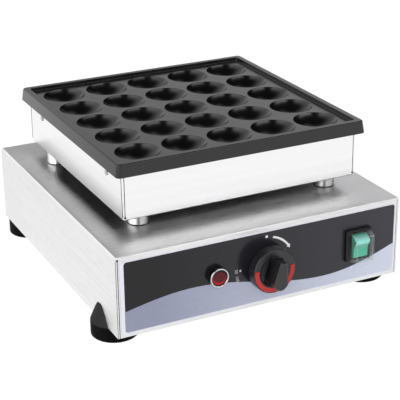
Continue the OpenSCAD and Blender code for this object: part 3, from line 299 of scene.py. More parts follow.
def brushed_steel(name, colour, underside_shade, streak, grain_mm, rough_low, rough_high, stretch):
    """Brushed stainless sheet: fine level lines in the gloss, and highlights drawn out across them.

    Faint streaks run with the lines, and faces that look down are painted in a shade colour of their own."""
    material, tree, shader = surface(name, colour, Metallic=1.0, Anisotropic=stretch)
    place = add(tree, "ShaderNodeSeparateXYZ", {0: add(tree, "ShaderNodeTexCoord").outputs["Object"]})
    geometry = add(tree, "ShaderNodeNewGeometry")
    normal = add(tree, "ShaderNodeSeparateXYZ", {0: geometry.outputs["True Normal"]})
    flat = add(tree, "ShaderNodeMath", {0: normal.outputs["Z"]}, operation="ABSOLUTE").outputs[0]
    upright = add(tree, "ShaderNodeMath", {0: 1.0, 1: flat}, operation="SUBTRACT").outputs[0]
    across = add(tree, "ShaderNodeCombineXYZ", {"Y": flat, "Z": upright})
    tree.links.new(across.outputs[0], shader.inputs["Tangent"])
    side = add(tree, "ShaderNodeMath", {0: normal.outputs["X"]}, operation="ABSOLUTE").outputs[0]
    along = add(tree, "ShaderNodeMix", {"Factor": side, "A": place.outputs["X"], "B": place.outputs["Y"]})
    down = add(tree, "ShaderNodeMix", {"Factor": flat, "A": place.outputs["Z"], "B": place.outputs["Y"]})
    slow = add(tree, "ShaderNodeMath", {0: along.outputs[0], 1: grain_along / (grain_mm * MM)},
               operation="MULTIPLY")
    quick = add(tree, "ShaderNodeMath", {0: down.outputs[0], 1: 1 / (grain_mm * MM)}, operation="MULTIPLY")
    lines = add(tree, "ShaderNodeCombineXYZ", {"X": slow.outputs[0], "Y": quick.outputs[0]})
    grain = add(tree, "ShaderNodeTexNoise", {"Vector": lines.outputs[0], "Scale": 1.0, "Detail": 4.0})
    gloss = add(tree, "ShaderNodeMapRange", {"Value": grain.outputs[0], "From Min": 0.3, "From Max": 0.7,
                                             "To Min": rough_low, "To Max": rough_high})
    tree.links.new(gloss.outputs[0], shader.inputs["Roughness"])
    bump = add(tree, "ShaderNodeBump", {"Height": grain.outputs[0], "Distance": 0.004 * MM, "Strength": 0.5})
    tree.links.new(bump.outputs[0], shader.inputs["Normal"])
    swathe = add(tree, "ShaderNodeTexNoise", {"Vector": lines.outputs[0], "Scale": 0.11, "Detail": 3.0})
    share = add(tree, "ShaderNodeMapRange", {"Value": swathe.outputs[0], "From Min": 0.3, "From Max": 0.7})
    worn = add(tree, "ShaderNodeMix", {"Factor": share.outputs[0], "A": linear(streak), "B": linear(colour)},
               data_type="RGBA")
    # Faces that look down are painted in the underside shade colour.
    below = add(tree, "ShaderNodeMath", {0: normal.outputs["Z"], 1: -0.5}, operation="LESS_THAN").outputs[0]
    tone = add(tree, "ShaderNodeMix", {"Factor": below, "A": worn.outputs[2], "B": linear(underside_shade)},
               data_type="RGBA")
    tree.links.new(tone.outputs[2], shader.inputs["Base Color"])
    return material


# Faces that look down get a painted shade: grey on the base and a touch darker on the cover and sleeve.
dress(brushed_steel("brushed_stainless", "#efefef", underside_shade="#b0b0b0", streak="#e7e7e7", grain_mm=0.35,
                    rough_low=0.24, rough_high=0.64, stretch=0.75), "base_shell")
dress(brushed_steel("mill_sheet", "#c8c8c7", underside_shade="#c4c4c3", streak="#c0c0bf", grain_mm=0.8,
                    rough_low=0.36, rough_high=0.48, stretch=0.2), "bottom_cover", "wire_sleeve")

# Corner seams: the open joints between the folded walls of base and housing, and their relief holes.
# Dull dark strips in each gap and hole paint the shade inside it, and a dark hairline by the sheet's edge
# paints its reflection.
seam_in, seam_half = 2.1, 0.38
seam_deep = (0.12, 1.1)
relief_r, relief_in, relief_deep = 1.1, 0.6, 0.96


def bar(bm, low, high):
    """A plain bar between two corners."""
    place = Matrix.Translation((low + high) / 2) @ Matrix.Diagonal((*(high - low), 1))
    return bmesh.ops.create_cube(bm, size=1, matrix=place)["verts"]


def painted_seam_lines(name, node, slot, foot_mm, head_mm, relief_z, edge_x, edge_y, lean=0, tight=None):
    """Dark strips of painted shade in a folded box's seams and relief holes, and by each a hairline of
    painted dark reflection. A tight corner shows none.

    edge_x and edge_y say how far in from the corner a hairline lies, and lean how far out its foot is."""
    low, high = (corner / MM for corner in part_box(node))
    middle = (low + high) / 2
    z0, z1 = low.z + foot_mm, low.z + head_mm
    bm = bmesh.new()
    for sx in (-1, 1):
        for sy in (-1, 1):
            if (sx, sy) == tight:
                continue
            corner = Vector((middle.x + sx * (high.x - low.x) / 2, middle.y + sy * (high.y - low.y) / 2, 0))
            into = Vector((-sx, -sy, 0))
            for reach_x, reach_y, drift in (((seam_in - seam_half, seam_in + seam_half), seam_deep, 0),
                                            (edge_x, edge_y, lean)):
                ends = [corner + Vector((into.x * x, into.y * y, 0)) for x, y in zip(reach_x, reach_y)]
                for vert in bar(bm, Vector((min(p.x for p in ends), min(p.y for p in ends), z0)),
                                Vector((max(p.x for p in ends), max(p.y for p in ends), z1))):
                    vert.co.y -= into.y * drift * (z1 - vert.co.z) / (z1 - z0)
            spot = Matrix.Translation(corner + Vector((into.x * seam_in, into.y * relief_in,
                                                       low.z + relief_z)))
            bmesh.ops.create_cone(bm, cap_ends=True, segments=24, radius1=relief_r, radius2=relief_r,
                                  depth=relief_deep, matrix=spot @ Matrix.Rotation(math.radians(90), 4, "X"))
    bm.transform(Matrix.Scale(MM, 4))
    mesh = bpy.data.meshes.new(name)
    bm.to_mesh(mesh)
    bm.free()
    return piece_of(name, mesh, seam_shade, "cooker", slot)


# Dull dark strips that paint the shade in seams and relief holes, and hairlines that paint a dark reflection
# on the edge.
seam_shade, tree, shader = surface("painted_seam_shade", "#1e1e1f", IOR=1.4)
grained(tree, shader, 0.6, 0.02, 0.6, 0.8)
painted_seam_lines("base_seam_shade", "base_shell", "brushed_base", foot_mm=0.2, head_mm=82.7, relief_z=82.8,
           edge_x=(0, 0.4), edge_y=(-0.02, 0.3), tight=(1, -1))
painted_seam_lines("housing_seam_shade", "upper_housing", "polished_housing", foot_mm=3.4, head_mm=46.6, relief_z=3.3,
           edge_x=(-0.02, 0.3), edge_y=(2.1, 3.5), lean=1.5)

# Mains entry: a moulded nylon gland through the back wall, with its locknut, cap and rubber seal.
# Satin from the mould, with its hexagons' edges a little round.
nylon, tree, shader = surface("moulded_nylon", "#1b1b1d", IOR=1.53)
grained(tree, shader, 0.4, 0.012, 0.36, 0.46)
for part in ("gland_body", "gland_cap"):
    piece_of("nylon_" + part, rounded_copy(part, voxel_mm=0.35, rounds=3), nylon, "cooker", "gland_plastic",
             part)
dress(nylon, "gland_locknut")
dress(rubber, "gland_seal")

# Posts: four turned spacers of steel between base and housing, each on a thin dead-black ring.
# Clamped by the bolts inside them. The fine turning lines draw every highlight out along the post.


def skin(bm, low, high):
    """Quads between two rings of as many points."""
    for k in range(len(low)):
        bm.faces.new((low[k], low[(k + 1) % len(low)], high[(k + 1) % len(low)], high[k]))


def lathe(profile, steps, matrix, notched=None):
    """A closed mesh turned from a profile of (radius, height) in mm.

    notched(turn, radius, height) may give another radius at a turn."""
    mesh = bpy.data.meshes.new("turned")
    bm = bmesh.new()
    turns = [2 * math.pi * k / steps for k in range(steps)]
    rings = []
    for radius, height in profile:
        reach = [notched(t, radius, height) if notched else radius for t in turns]
        rings.append([bm.verts.new(Vector((r * math.cos(t), r * math.sin(t), height)))
                      for t, r in zip(turns, reach)])
    for low, high in zip(rings, rings[1:]):
        skin(bm, low, high)
    if profile[0] != profile[-1]:
        bm.faces.new(rings[0][::-1])
        bm.faces.new(rings[-1])
    bmesh.ops.remove_doubles(bm, verts=bm.verts, dist=1e-5)
    bmesh.ops.recalc_face_normals(bm, faces=bm.faces)
    bm.transform(matrix @ Matrix.Scale(MM, 4))
    bm.to_mesh(mesh)
    bm.free()
    mesh.shade_smooth()
    mesh.set_sharp_from_angle(angle=math.radians(32))
    return mesh


polished, tree, shader = surface("turned_steel", "#f0f0f0", Metallic=1.0, Anisotropic=0.9,
                                 Anisotropic_Rotation=0.25)
grained(tree, shader, 0.6, 0.0005, 0.4, 0.46)
tree.links.new(add(tree, "ShaderNodeTangent", direction_type="RADIAL", axis="Z").outputs[0],
               shader.inputs["Tangent"])
# A dead black ring under each post, for the dark line at its foot.
dead_black, tree, shader = surface("dead_black_ring", "#0c0c0c", IOR=1.3)
grained(tree, shader, 0.4, 0.02, 0.7, 0.8)
post_edge, post_bevel, post_steps = 0.9, 0.25, 72
for corner in corners:
    low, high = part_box("post_" + corner)
    middle = (low + high) / 2
    r, h = (high.x - low.x) / 2 / MM, (high.z - low.z) / MM
    neck = r - 2 * post_edge
    stand = Matrix.Translation((middle.x, middle.y, low.z))
    outline = [(neck, 0), (neck, post_edge), (r - post_bevel, post_edge), (r, post_edge + post_bevel),
               (r, h - post_edge), (r - post_bevel, h - post_bevel), (r - post_edge, h)]
    piece_of("turned_post_" + corner, lathe(outline, post_steps, stand), polished, "cooker", "polished_post",
             "post_" + corner)
    washer = [(neck, 0), (r, 0), (r, post_edge), (neck, post_edge), (neck, 0)]
    piece_of("black_foot_ring_" + corner, lathe(washer, post_steps, stand), dead_black, "cooker", "gland_plastic")

# Housing: a box folded from bright annealed stainless sheet, open above, that the plate closes.
# Nearly white where it mirrors the paper, with a slight cloud from the rolling, and painted near black as
# shade on the faces that look down.
dress(brushed_steel("bright_stainless", "#f6f5f6", underside_shade="#0c0c0c", streak="#f2f1f2", grain_mm=0.9,
                    rough_low=0.2, rough_high=0.26, stretch=0.25), "upper_housing")

# Insulation: a pad of pressed mineral fibre on the housing's floor, cut with a knife.
# Matt, with soft tufts in two pale shades.
felt, tree, shader = surface("mineral_felt", "#d8d0b8", IOR=1.45)
place = grained(tree, shader, 1.2, 0.3, 0.9, 1.0)
tufts = add(tree, "ShaderNodeTexNoise", {"Vector": place, "Scale": 1 / (4 * MM), "Detail": 4.0})
tree.links.new(over(linear("#c9bf9f"), linear("#e8e2cf"), tufts.outputs[0]), shader.inputs["Base Color"])
dress(felt, "insulating_pad")

# Heating: a bent steel tube pressed up to the plate, darkened by heat, with a copper sensor bulb.
# Heat leaves straw and blue patches on the tube; the copper is drawn and a little dull.
heated, tree, shader = surface("heat_tinted_steel", "#5a5a5c", Metallic=1.0)
place = grained(tree, shader, 0.5, 0.01, 0.34, 0.5)
patches = add(tree, "ShaderNodeTexNoise", {"Vector": place, "Scale": 1 / (18 * MM), "Detail": 2.0})
tree.links.new(over(linear("#6b5a48"), linear("#4a4f5c"), patches.outputs[0]), shader.inputs["Base Color"])
dress(heated, "heating_element")
copper, tree, shader = surface("drawn_copper", "#c98b66", Metallic=1.0)
grained(tree, shader, 0.5, 0.006, 0.24, 0.4)
dress(copper, "sensor_bulb", "capillary_tube")

# Cooking plate: one aluminium casting, machined on top and sprayed with a dark non-stick coat.
# The coat is satin with a fine orange peel, and its black wanders a little over the plate.
low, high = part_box("cooking_plate")
plate_mid = (low + high) / 2 / MM
plate_half = (high.x - low.x) / 2 / MM
top_z = high.z / MM
house_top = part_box("upper_housing")[1].z / MM
tray_deep, block_deep = 4, 17
tray_z = top_z - tray_deep
block_z = tray_z - block_deep
block_half, block_corner = 125, 2
wall_foot, wall_draft, wall_corner = 0.7, 1.5, 5
wall_taper, edge_taper = 0.2, 1.2
rim_out, rim_in = plate_half - wall_draft, plate_half - 8.5
rim_corner, tray_corner = 3.6, 3.4
edge_r, lip_r, fillet_r = 1.6, 0.5, 0.4
rim_draft, hold = 0.2, 0.15
cup_pitch, cup_r, cup_depth, cup_lip = 50.8, 23.25, 12, 0.5
cup_steps, lip_steps, bowl_steps = 64, 5, 15
bowl_spacing = 1.2
lug_w, lug_t, lug_h, lug_y = 14, 10, 7, 93


def spread(first, last, steps):
    """Even steps from one value to another, with both ends."""
    return [first + (last - first) * k / steps for k in range(steps + 1)]


def arc(first, last, steps):
    """The angles of an arc between two turns in degrees."""
    return [math.radians(turn) for turn in spread(first, last, steps)]


def square_ring(bm, half, corner, z, steps=6):
    """A ring of points on a square with round corners."""
    ring = []
    for turn, (sx, sy) in enumerate(((1, 1), (-1, 1), (-1, -1), (1, -1))):
        for a in arc(90 * turn, 90 * turn + 90, steps):
            ring.append(bm.verts.new((sx * (half - corner) + corner * math.cos(a),
                                      sy * (half - corner) + corner * math.sin(a), z)))
    return ring


def edges_of(bm, ring):
    """The edges round a closed ring of points."""
    return [bm.edges.get(ends) for ends in zip(ring, ring[1:] + ring[:1])]


def ball_at(depth):
    """Radius of the cup's ball at a depth below the tray."""
    return math.sqrt(ball_r ** 2 - (ball_r - cup_depth + depth) ** 2)


# Half width, corner radius and height, from the block below up the wall, over the rim and down to the tray.
rim_profile = [(block_half, block_corner, block_z), (block_half, block_corner, house_top),
               (plate_half - 0.6, wall_corner - 0.6, house_top),
               (plate_half - 0.15, wall_corner - 0.1, house_top + 0.2),
               (plate_half, wall_corner, house_top + wall_foot)]
for share in (0.02, 0.98):
    rim_profile.append((plate_half - wall_draft * share, wall_corner - wall_taper * share,
                        house_top + wall_foot + (top_z - edge_r - house_top - wall_foot) * share))
for a in arc(0, 90, 6):
    rim_profile.append((rim_out - edge_r + edge_r * math.cos(a), rim_corner + edge_taper * math.cos(a),
                        top_z - edge_r + edge_r * math.sin(a)))
for a in arc(0, 90, 4):
    rim_profile.append((rim_in + lip_r - lip_r * math.sin(a), rim_corner + lip_r - lip_r * math.sin(a),
                        top_z - lip_r + lip_r * math.cos(a)))
rim_profile += [(rim_in, rim_corner, top_z - lip_r - hold),
                (rim_in - rim_draft, tray_corner, tray_z + fillet_r + hold)]
for a in arc(0, 90, 4):
    inwards = fillet_r * (1 - math.cos(a))
    rim_profile.append((rim_in - rim_draft - inwards, tray_corner - inwards,
                        tray_z + fillet_r - fillet_r * math.sin(a)))

# Radius and height of a cup, from its rounded lip down the ball.
ball_r = (cup_r ** 2 + cup_depth ** 2) / (2 * cup_depth)
rim_slope = math.asin(cup_r / ball_r)
lip_depth = cup_lip * (1 - math.cos(rim_slope))
lip_from = ball_at(lip_depth) + cup_lip * math.sin(rim_slope)
cup_profile = [(lip_from - cup_lip * math.sin(a), -cup_lip * (1 - math.cos(a)))
               for a in spread(0, rim_slope, lip_steps)]
for k in range(1, bowl_steps):
    depth = lip_depth + (cup_depth - lip_depth) * (k / bowl_steps) ** bowl_spacing
    cup_profile.append((ball_at(depth), -depth))

plate_mesh = bpy.data.meshes.new("cast_plate")
bm = bmesh.new()
rings = [square_ring(bm, *row) for row in rim_profile]
for low_ring, high_ring in zip(rings, rings[1:]):
    skin(bm, low_ring, high_ring)
bm.faces.new(rings[0][::-1])
tray_edges = edges_of(bm, rings[-1])
cup_turns = [2 * math.pi * k / cup_steps for k in range(cup_steps)]
for i in range(-2, 3):
    for j in range(-2, 3):
        x, y = i * cup_pitch, j * cup_pitch
        cup_rings = [[bm.verts.new((x + r * math.cos(t), y + r * math.sin(t), tray_z + z)) for t in cup_turns]
                     for r, z in cup_profile]
        for outer, inner in zip(cup_rings, cup_rings[1:]):
            skin(bm, outer, inner)
        bottom = bm.verts.new((x, y, tray_z - cup_depth))
        for k in range(cup_steps):
            bm.faces.new((cup_rings[-1][k], cup_rings[-1][(k + 1) % cup_steps], bottom))
        tray_edges += edges_of(bm, cup_rings[0])
bmesh.ops.triangle_fill(bm, edges=tray_edges, use_beauty=True, normal=(0, 0, 1))
for sx in (-1, 1):
    for sy in (-1, 1):
        place = Matrix.Translation((sx * (block_half - lug_t / 2), sy * lug_y, block_z - lug_h / 2))
        bmesh.ops.create_cube(bm, size=1, matrix=place @ Matrix.Diagonal((lug_t, lug_w, lug_h, 1)))
bmesh.ops.recalc_face_normals(bm, faces=bm.faces)
bm.transform(Matrix.Translation(Vector((plate_mid.x, plate_mid.y, 0)) * MM) @ Matrix.Scale(MM, 4))
for face in bm.faces:
    face.smooth = True
for edge in bm.edges:
    level = [abs(face.normal.z) > 0.99999 for face in edge.link_faces]
    edge.smooth = len(set(level)) == 1 and edge.calc_face_angle(0) < math.radians(40)
bm.to_mesh(plate_mesh)
bm.free()
coat, tree, shader = surface("nonstick_coat", "#080808", IOR=1.55)
place = grained(tree, shader, 2.5, 0.002, 0.2, 0.24, detail=1.0)
cloud = add(tree, "ShaderNodeTexNoise", {"Vector": place, "Scale": 1 / (60 * MM), "Detail": 3.0})
tree.links.new(over(linear("#0a0a0a"), linear("#111111"), cloud.outputs[0]), shader.inputs["Base Color"])
piece_of("cast_plate", plate_mesh, coat, "cooker", "cast_plate", "cooking_plate")

# Side screws: four button heads through the housing's walls into the plate's lugs.
# They are plated like the other fasteners, and hold plate and housing together.
dress(zinc, "plate_screws")

# Overlay: a polyester film, printed from behind and glued to the front wall.
# A charcoal field over a silver one meets it along a wave; the face is a clear semi-gloss.
panel_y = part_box("control_overlay")[0].y
axes = {joint["name"]: Vector(joint["pos_m"]) for joint in frame["joints"]}
control_z = axes["rocker_tilt"].z
foot_y = (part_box("base_shell")[0].z - control_z) / MM
print_t = 0.02
field_left, field_right, field_top, field_r = -152, 154.6, 79.6, 3
band_left, band_right, band_foot = field_left - 0.3, field_right + 0.3, foot_y + 4.9
tucked = 0.4
wave_mid, wave_swing, wave_from, wave_length = 26.7, 10.3, -155, 300
rise_from, rise_length, rise_h = 70, 87, 7.4
# Pearl: the film's pale lilac margin, with a faint metal sheen.
border, tree, shader = surface("pearl_print", "#f4f4ff", Metallic=0.2, IOR=1.5)
grained(tree, shader, 1.2, 0.0004, 0.24, 0.28, detail=1.0)
dress(border, "control_overlay")


def on_panel(x):
    """Places a shape drawn with X to the right, Y up and Z out of the panel."""
    return Matrix.Translation((x * MM, panel_y, control_z)) @ Matrix.Rotation(math.radians(90), 4, "X")


def printed(name, outlines, material, layer):
    """A print layer on the film: flat outlines in mm from the panel's middle and the controls' height.

    An outline that runs clockwise lies on the layer below. Any other stands one thickness off it."""
    mesh = bpy.data.meshes.new(name)
    bm = bmesh.new()
    for outline in outlines:
        bm.faces.new([bm.verts.new((x, y, 0)) for x, y in outline])
    bmesh.ops.triangulate(bm, faces=bm.faces)
    bmesh.ops.solidify(bm, geom=bm.faces[:], thickness=-print_t)
    bmesh.ops.recalc_face_normals(bm, faces=bm.faces)
    lift = Matrix.Translation((0, 0, layer * print_t))
    bm.transform(on_panel(0) @ Matrix.Scale(MM, 4) @ lift)
    bm.to_mesh(mesh)
    bm.free()
    return piece_of(name, mesh, material, "cooker", "overlay_film")


def wave(x):
    """Height of the edge between the two fields above the foot of the base, in mm."""
    rise = rise_h * ((x - rise_from) / rise_length) ** 2 if x > rise_from else 0
    return wave_mid + wave_swing * math.sin(2 * math.pi * (x - wave_from) / wave_length) + rise


def painted_light_across(tree, shader, place, left, right):
    """A print with painted shade at the left that pales to painted light at the right over the panel."""
    split = add(tree, "ShaderNodeSeparateXYZ", {0: place})
    fade = add(tree, "ShaderNodeMapRange", {"Value": split.outputs["X"], "From Min": -0.12, "From Max": 0.15})
    tones = add(tree, "ShaderNodeMix", {"Factor": fade.outputs[0], "A": linear(left), "B": linear(right)},
                data_type="RGBA")
    tree.links.new(tones.outputs[2], shader.inputs["Base Color"])


bend = arc(0, 90, 6)
field = [(field_right - field_r + field_r * math.sin(a), foot_y + field_top - field_r + field_r * math.cos(a))
         for a in bend]
field += [(x, foot_y + wave(x)) for x in spread(field_right, field_left, 60)]
field += [(field_left + field_r - field_r * math.cos(a), foot_y + field_top - field_r + field_r * math.sin(a))
          for a in bend]
band = [(x, foot_y + wave(x) + tucked) for x in spread(band_left, band_right, 60)]
band += [(band_right - field_r + field_r * math.cos(a), band_foot + field_r - field_r * math.sin(a))
         for a in bend]
band += [(band_left + field_r - field_r * math.sin(a), band_foot + field_r - field_r * math.cos(a))
         for a in bend]
# Silver: a blue grey with some metal in it, so that it takes up the light of the room, with painted shade at
# the left and painted light at the right.
silver, tree, shader = surface("silver_print", "#b9bdd0", Metallic=0.35, IOR=1.5)
painted_light_across(tree, shader, grained(tree, shader, 1.2, 0.0004, 0.24, 0.28, detail=1.0), "#979bb2", "#dbe1f2")
printed("silver_field", [band], silver, 1)
# Charcoal: painted shade deep at the left and painted light greyer at the right, under the film's even gloss.
charcoal, tree, shader = surface("charcoal_print", "#161618", IOR=1.42)
painted_light_across(tree, shader, grained(tree, shader, 1.2, 0.0003, 0.18, 0.22, detail=1.0), "#06060c", "#37373f")
printed("charcoal_field", [field], charcoal, 2)

knob_x = axes["knob_turn"].x / MM
knob_up = (axes["knob_turn"].z - control_z) / MM
mark_r = 30.0
dot_r, dot_out = 1.5, 1
arrow_tail, arrow_neck, arrow_tip = 14, 56, 63
arrow_half, barb_half = 1.1, 2.3
pointer_w, pointer_h = 2.2, 1.3
figure_size, figure_out = 4.6, 4.2


def round_knob(r, degrees):
    """A point at a radius from the knob's axis, turned clockwise from the top."""
    return (knob_x + r * math.sin(math.radians(degrees)), knob_up + r * math.cos(math.radians(degrees)))


def figures(name, words, material, layer):
    """Dial figures printed round the knob, each at its own turn with its head to the knob."""
    made = bmesh.new()
    for word, turn in words:
        curve = bpy.data.curves.new(name, "FONT")
        curve.body = word
        curve.size = figure_size
        curve.align_x = "CENTER"
        curve.align_y = "CENTER"
        work = bpy.data.objects.new(name, curve)
        mesh = bpy.data.meshes.new_from_object(work)
        x, y = round_knob(mark_r + figure_out, turn)
        mesh.transform(Matrix.Translation((x, y, 0)) @ Matrix.Rotation(math.radians(180 - turn), 4, "Z"))
        made.from_mesh(mesh)
        bpy.data.objects.remove(work)
        bpy.data.curves.remove(curve)
    made.transform(on_panel(0) @ Matrix.Scale(MM, 4) @ Matrix.Translation((0, 0, layer * print_t)))
    mesh = bpy.data.meshes.new(name)
    made.to_mesh(mesh)
    made.free()
    return piece_of(name, mesh, material, "cooker", "overlay_film")


# White ink: the clearest marks on the charcoal.
ink, tree, shader = surface("white_ink", "#ffffff", IOR=1.5)
grained(tree, shader, 1.2, 0.0003, 0.3, 0.4, detail=1.0)
dot = [(knob_x + dot_r * math.cos(a), knob_up + mark_r + dot_out + dot_r * math.sin(a))
       for a in arc(0, 345, 23)]
printed("start_dot", [dot], ink, 3)
arrow = [round_knob(mark_r + arrow_half, turn) for turn in spread(arrow_tail, arrow_neck, 12)]
arrow += [round_knob(mark_r + barb_half, arrow_neck), round_knob(mark_r, arrow_tip),
          round_knob(mark_r - barb_half, arrow_neck)]
arrow += [round_knob(mark_r - arrow_half, turn) for turn in spread(arrow_neck, arrow_tail, 12)]
printed("turn_arrow", [arrow], ink, 3)
pointers = []
for side in (-1, 1):
    x, y = knob_x + side * mark_r, knob_up
    pointers.append([(x - pointer_w / 2, y), (x + pointer_w / 2, y - pointer_h),
                     (x + pointer_w / 2, y + pointer_h)])
printed("range_pointers", pointers, ink, 3)
# Grey ink: figures that stand back a little from the white marks.
pale_ink, tree, shader = surface("grey_ink", "#c4c4c8", IOR=1.5)
grained(tree, shader, 1.2, 0.0003, 0.3, 0.4, detail=1.0)
figures("dial_figures", (("50", 270), ("100", 256)), pale_ink, 3)

# Knob: moulded in black phenolic, with a scooped face, an upright grip and a red inlay.
# It is pushed on the thermostat's flatted brass spindle and turns with it.
knob_face = (panel_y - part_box("knob_band")[0].y) / MM
cheek_r = 17
cheek_top, cheek_foot = 115, 229
cheek_sink, cheek_deep = 0.6, 9.5
grip_turn = 8


def cheeks(bm):
    """Half-moons that fill the dish on either side of the grip, a finger slot away from it."""
    turned = Matrix.Translation((0, knob_up, 0)) @ Matrix.Rotation(math.radians(-grip_turn), 4, "Z")
    place = on_panel(knob_x) @ Matrix.Scale(MM, 4) @ turned
    turns = arc(cheek_top, cheek_foot, 24)
    for side in (1, -1):
        rings = []
        for z in (knob_face - cheek_deep, knob_face - cheek_sink):
            points = [Vector((side * cheek_r * math.cos(a), cheek_r * math.sin(a), z)) for a in turns[::side]]
            rings.append([bm.verts.new(place @ point) for point in points])
        skin(bm, *rings)
        bm.faces.new(rings[0][::-1])
        bm.faces.new(rings[1])


# Phenolic: black with a soft shine, so that the edges of dish and grip catch the light.
phenolic, tree, shader = surface("black_phenolic", "#1d1d20", IOR=1.55)
grained(tree, shader, 0.5, 0.01, 0.3, 0.4)
piece_of("moulded_knob", rounded_copy("knob", voxel_mm=0.36, rounds=3, fill=cheeks), phenolic, "knob",
         "knob_black", "knob")
# Inlay: a flat, strong red.
red, tree, shader = surface("red_inlay", "#c5282a", IOR=1.5)
grained(tree, shader, 0.4, 0.004, 0.32, 0.4)
dress(red, "knob_band")
# Brass: warm and bright from the lathe.
brass, tree, shader = surface("turned_brass", "#cfae6a", Metallic=1.0)
grained(tree, shader, 0.4, 0.004, 0.2, 0.3)
dress(brass, "thermostat_spindle", "switch_terminals", "terminal_screws", "earth_stud", "earth_nut")
# Cream moulding: pale and chalky beside the metal.
cream, tree, shader = surface("cream_moulding", "#d9cdb4", IOR=1.5)
grained(tree, shader, 0.5, 0.02, 0.45, 0.6)
dress(cream, "thermostat_body", "terminal_block")

# Lamp: a ribbed black barrel pushed through the panel, a chromed ring and a red lens over a neon bulb.
# The barrel is moulded and held by a nut behind the wall. The ring sits on its spigot, the lens in its well.
lamp_low, lamp_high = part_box("lamp_bezel")
lamp_x = (lamp_low.x + lamp_high.x) / 2 / MM
lamp_h = (panel_y - lamp_low.y) / MM
ring_r = (lamp_high.x - lamp_low.x) / 2 / MM
barrel_r, barrel_h = ring_r - 0.5, 5.0
shank_r, shank_end = 8, -22
spigot_r, spigot_h = 8.55, 7.0
well_r, well_floor = 7.7, 3.0
bulb_bore, bulb_end, lead_bore = 3.1, -15, 2.0
foot_bevel, head_bevel, bevel_h = 0.5, 0.3, 0.4
ribs, rib_deep, rib_foot, rib_head = 30, 0.45, 0.8, 4.2
ring_in, ring_foot, ring_rise = 8.5, 5.1, 0.9
ring_bore, ring_bevel = 8.75, 0.2
lens_r, lens_seat, lens_rim, lens_top = 7.55, 3.05, 6.5, 7.3
# Black nylon: deep black with a slight shine on the ribs.
black, tree, shader = surface("black_nylon", "#0a0a0b", IOR=1.4)
grained(tree, shader, 0.4, 0.01, 0.28, 0.38)
barrel = [(shank_r, shank_end), (shank_r, 0.0), (barrel_r - foot_bevel, 0.0), (barrel_r, bevel_h),
          (barrel_r, rib_foot), (barrel_r, rib_head), (barrel_r, barrel_h - bevel_h),
          (barrel_r - head_bevel, barrel_h), (spigot_r, barrel_h),
          (spigot_r, spigot_h), (well_r, spigot_h), (well_r, well_floor), (bulb_bore, well_floor),
          (bulb_bore, bulb_end), (lead_bore, bulb_end - 0.2), (lead_bore, shank_end), (shank_r, shank_end)]


def knurl(turn, radius, height):
    """Rounded notches along the barrel, between its two plain edges."""
    ribbed = radius == barrel_r and rib_foot <= height <= rib_head
    return radius - (rib_deep * max(0, math.cos(ribs * turn)) if ribbed else 0)


piece_of("ribbed_barrel", lathe(barrel, 240, on_panel(lamp_x), knurl), black, "cooker", "lamp_black",
         "lamp_body")
dress(black, "lamp_nut")
# Chrome: a narrow mirror round the lens.
chrome, tree, shader = surface("chrome_plate", "#c8c8ca", Metallic=1.0)
grained(tree, shader, 0.6, 0.001, 0.04, 0.08)
ring = [(ring_bore, ring_foot), (ring_r - ring_bevel, ring_foot), (ring_r, ring_foot + ring_bevel)]
for a in arc(0, 180, 12):
    ring.append(((ring_r + ring_in) / 2 + (ring_r - ring_in) / 2 * math.cos(a),
                 lamp_h - ring_rise + ring_rise * math.sin(a)))
ring += [(ring_bore, lamp_h - ring_rise), (ring_bore, ring_foot)]
piece_of("chromed_ring", lathe(ring, 96, on_panel(lamp_x)), chrome, "cooker", "lamp_chrome", "lamp_bezel")
# Red acrylic: dull in the middle, with painted shade darker towards the ring and painted light in a bright
# red crescent along its foot.
lens, tree, shader = surface("red_acrylic", "#520d1c", IOR=1.3)
split = add(tree, "ShaderNodeSeparateXYZ", {0: grained(tree, shader, 1.5, 0.002, 0.14, 0.18, detail=1.0)})
flat_place = add(tree, "ShaderNodeCombineXYZ", {"X": split.outputs["X"], "Z": split.outputs["Z"]}).outputs[0]


def painted_lens_step(raised_mm, start_mm, full_mm):
    """A step by the distance, across the panel, from a point raised above the lamp's axis."""
    middle = (lamp_x * MM, 0, control_z + raised_mm * MM)
    away = add(tree, "ShaderNodeVectorMath", {0: flat_place, 1: middle}, operation="DISTANCE")
    return step(away.outputs["Value"], start_mm * MM, full_mm * MM)


# Painted shade darkens the lens towards the ring; painted light makes a bright crescent along its foot.
lens_rim_shade = over(linear("#5c1622"), linear("#2c0610"), painted_lens_step(0, 5.9, 6.8))
tree.links.new(over(lens_rim_shade, linear("#d81416"), painted_lens_step(2, 6.2, 8.4)), shader.inputs["Base Color"])
dome = [(0, lens_seat), (lens_r, lens_seat), (lens_r, lens_rim)]
dome += [(lens_r * math.cos(a), lens_rim + (lens_top - lens_rim) * math.sin(a)) for a in arc(0, 90, 8)[1:]]
dome[-1] = (0, lens_top)
piece_of("domed_lens", lathe(dome, 96, on_panel(lamp_x)), lens, "cooker", "lamp_red", "lamp_lens")
# Neon glass: clear with an orange tint, hidden behind the lens.
bulb, tree, shader = surface("neon_glass", "#e8b080", IOR=1.5, Transmission_Weight=0.6)
grained(tree, shader, 0.6, 0.002, 0.05, 0.1)
dress(bulb, "lamp_bulb")

# Switch: a black nylon case snapped into the panel, a green rocker on a steel pin and a clear hood.
# Case and rocker are moulded; the hood is soft clear vinyl, stretched over the case's edge.
piece_of("moulded_case", rounded_copy("switch_body", voxel_mm=0.35, rounds=2), black, "cooker",
         "switch_black", "switch_body")
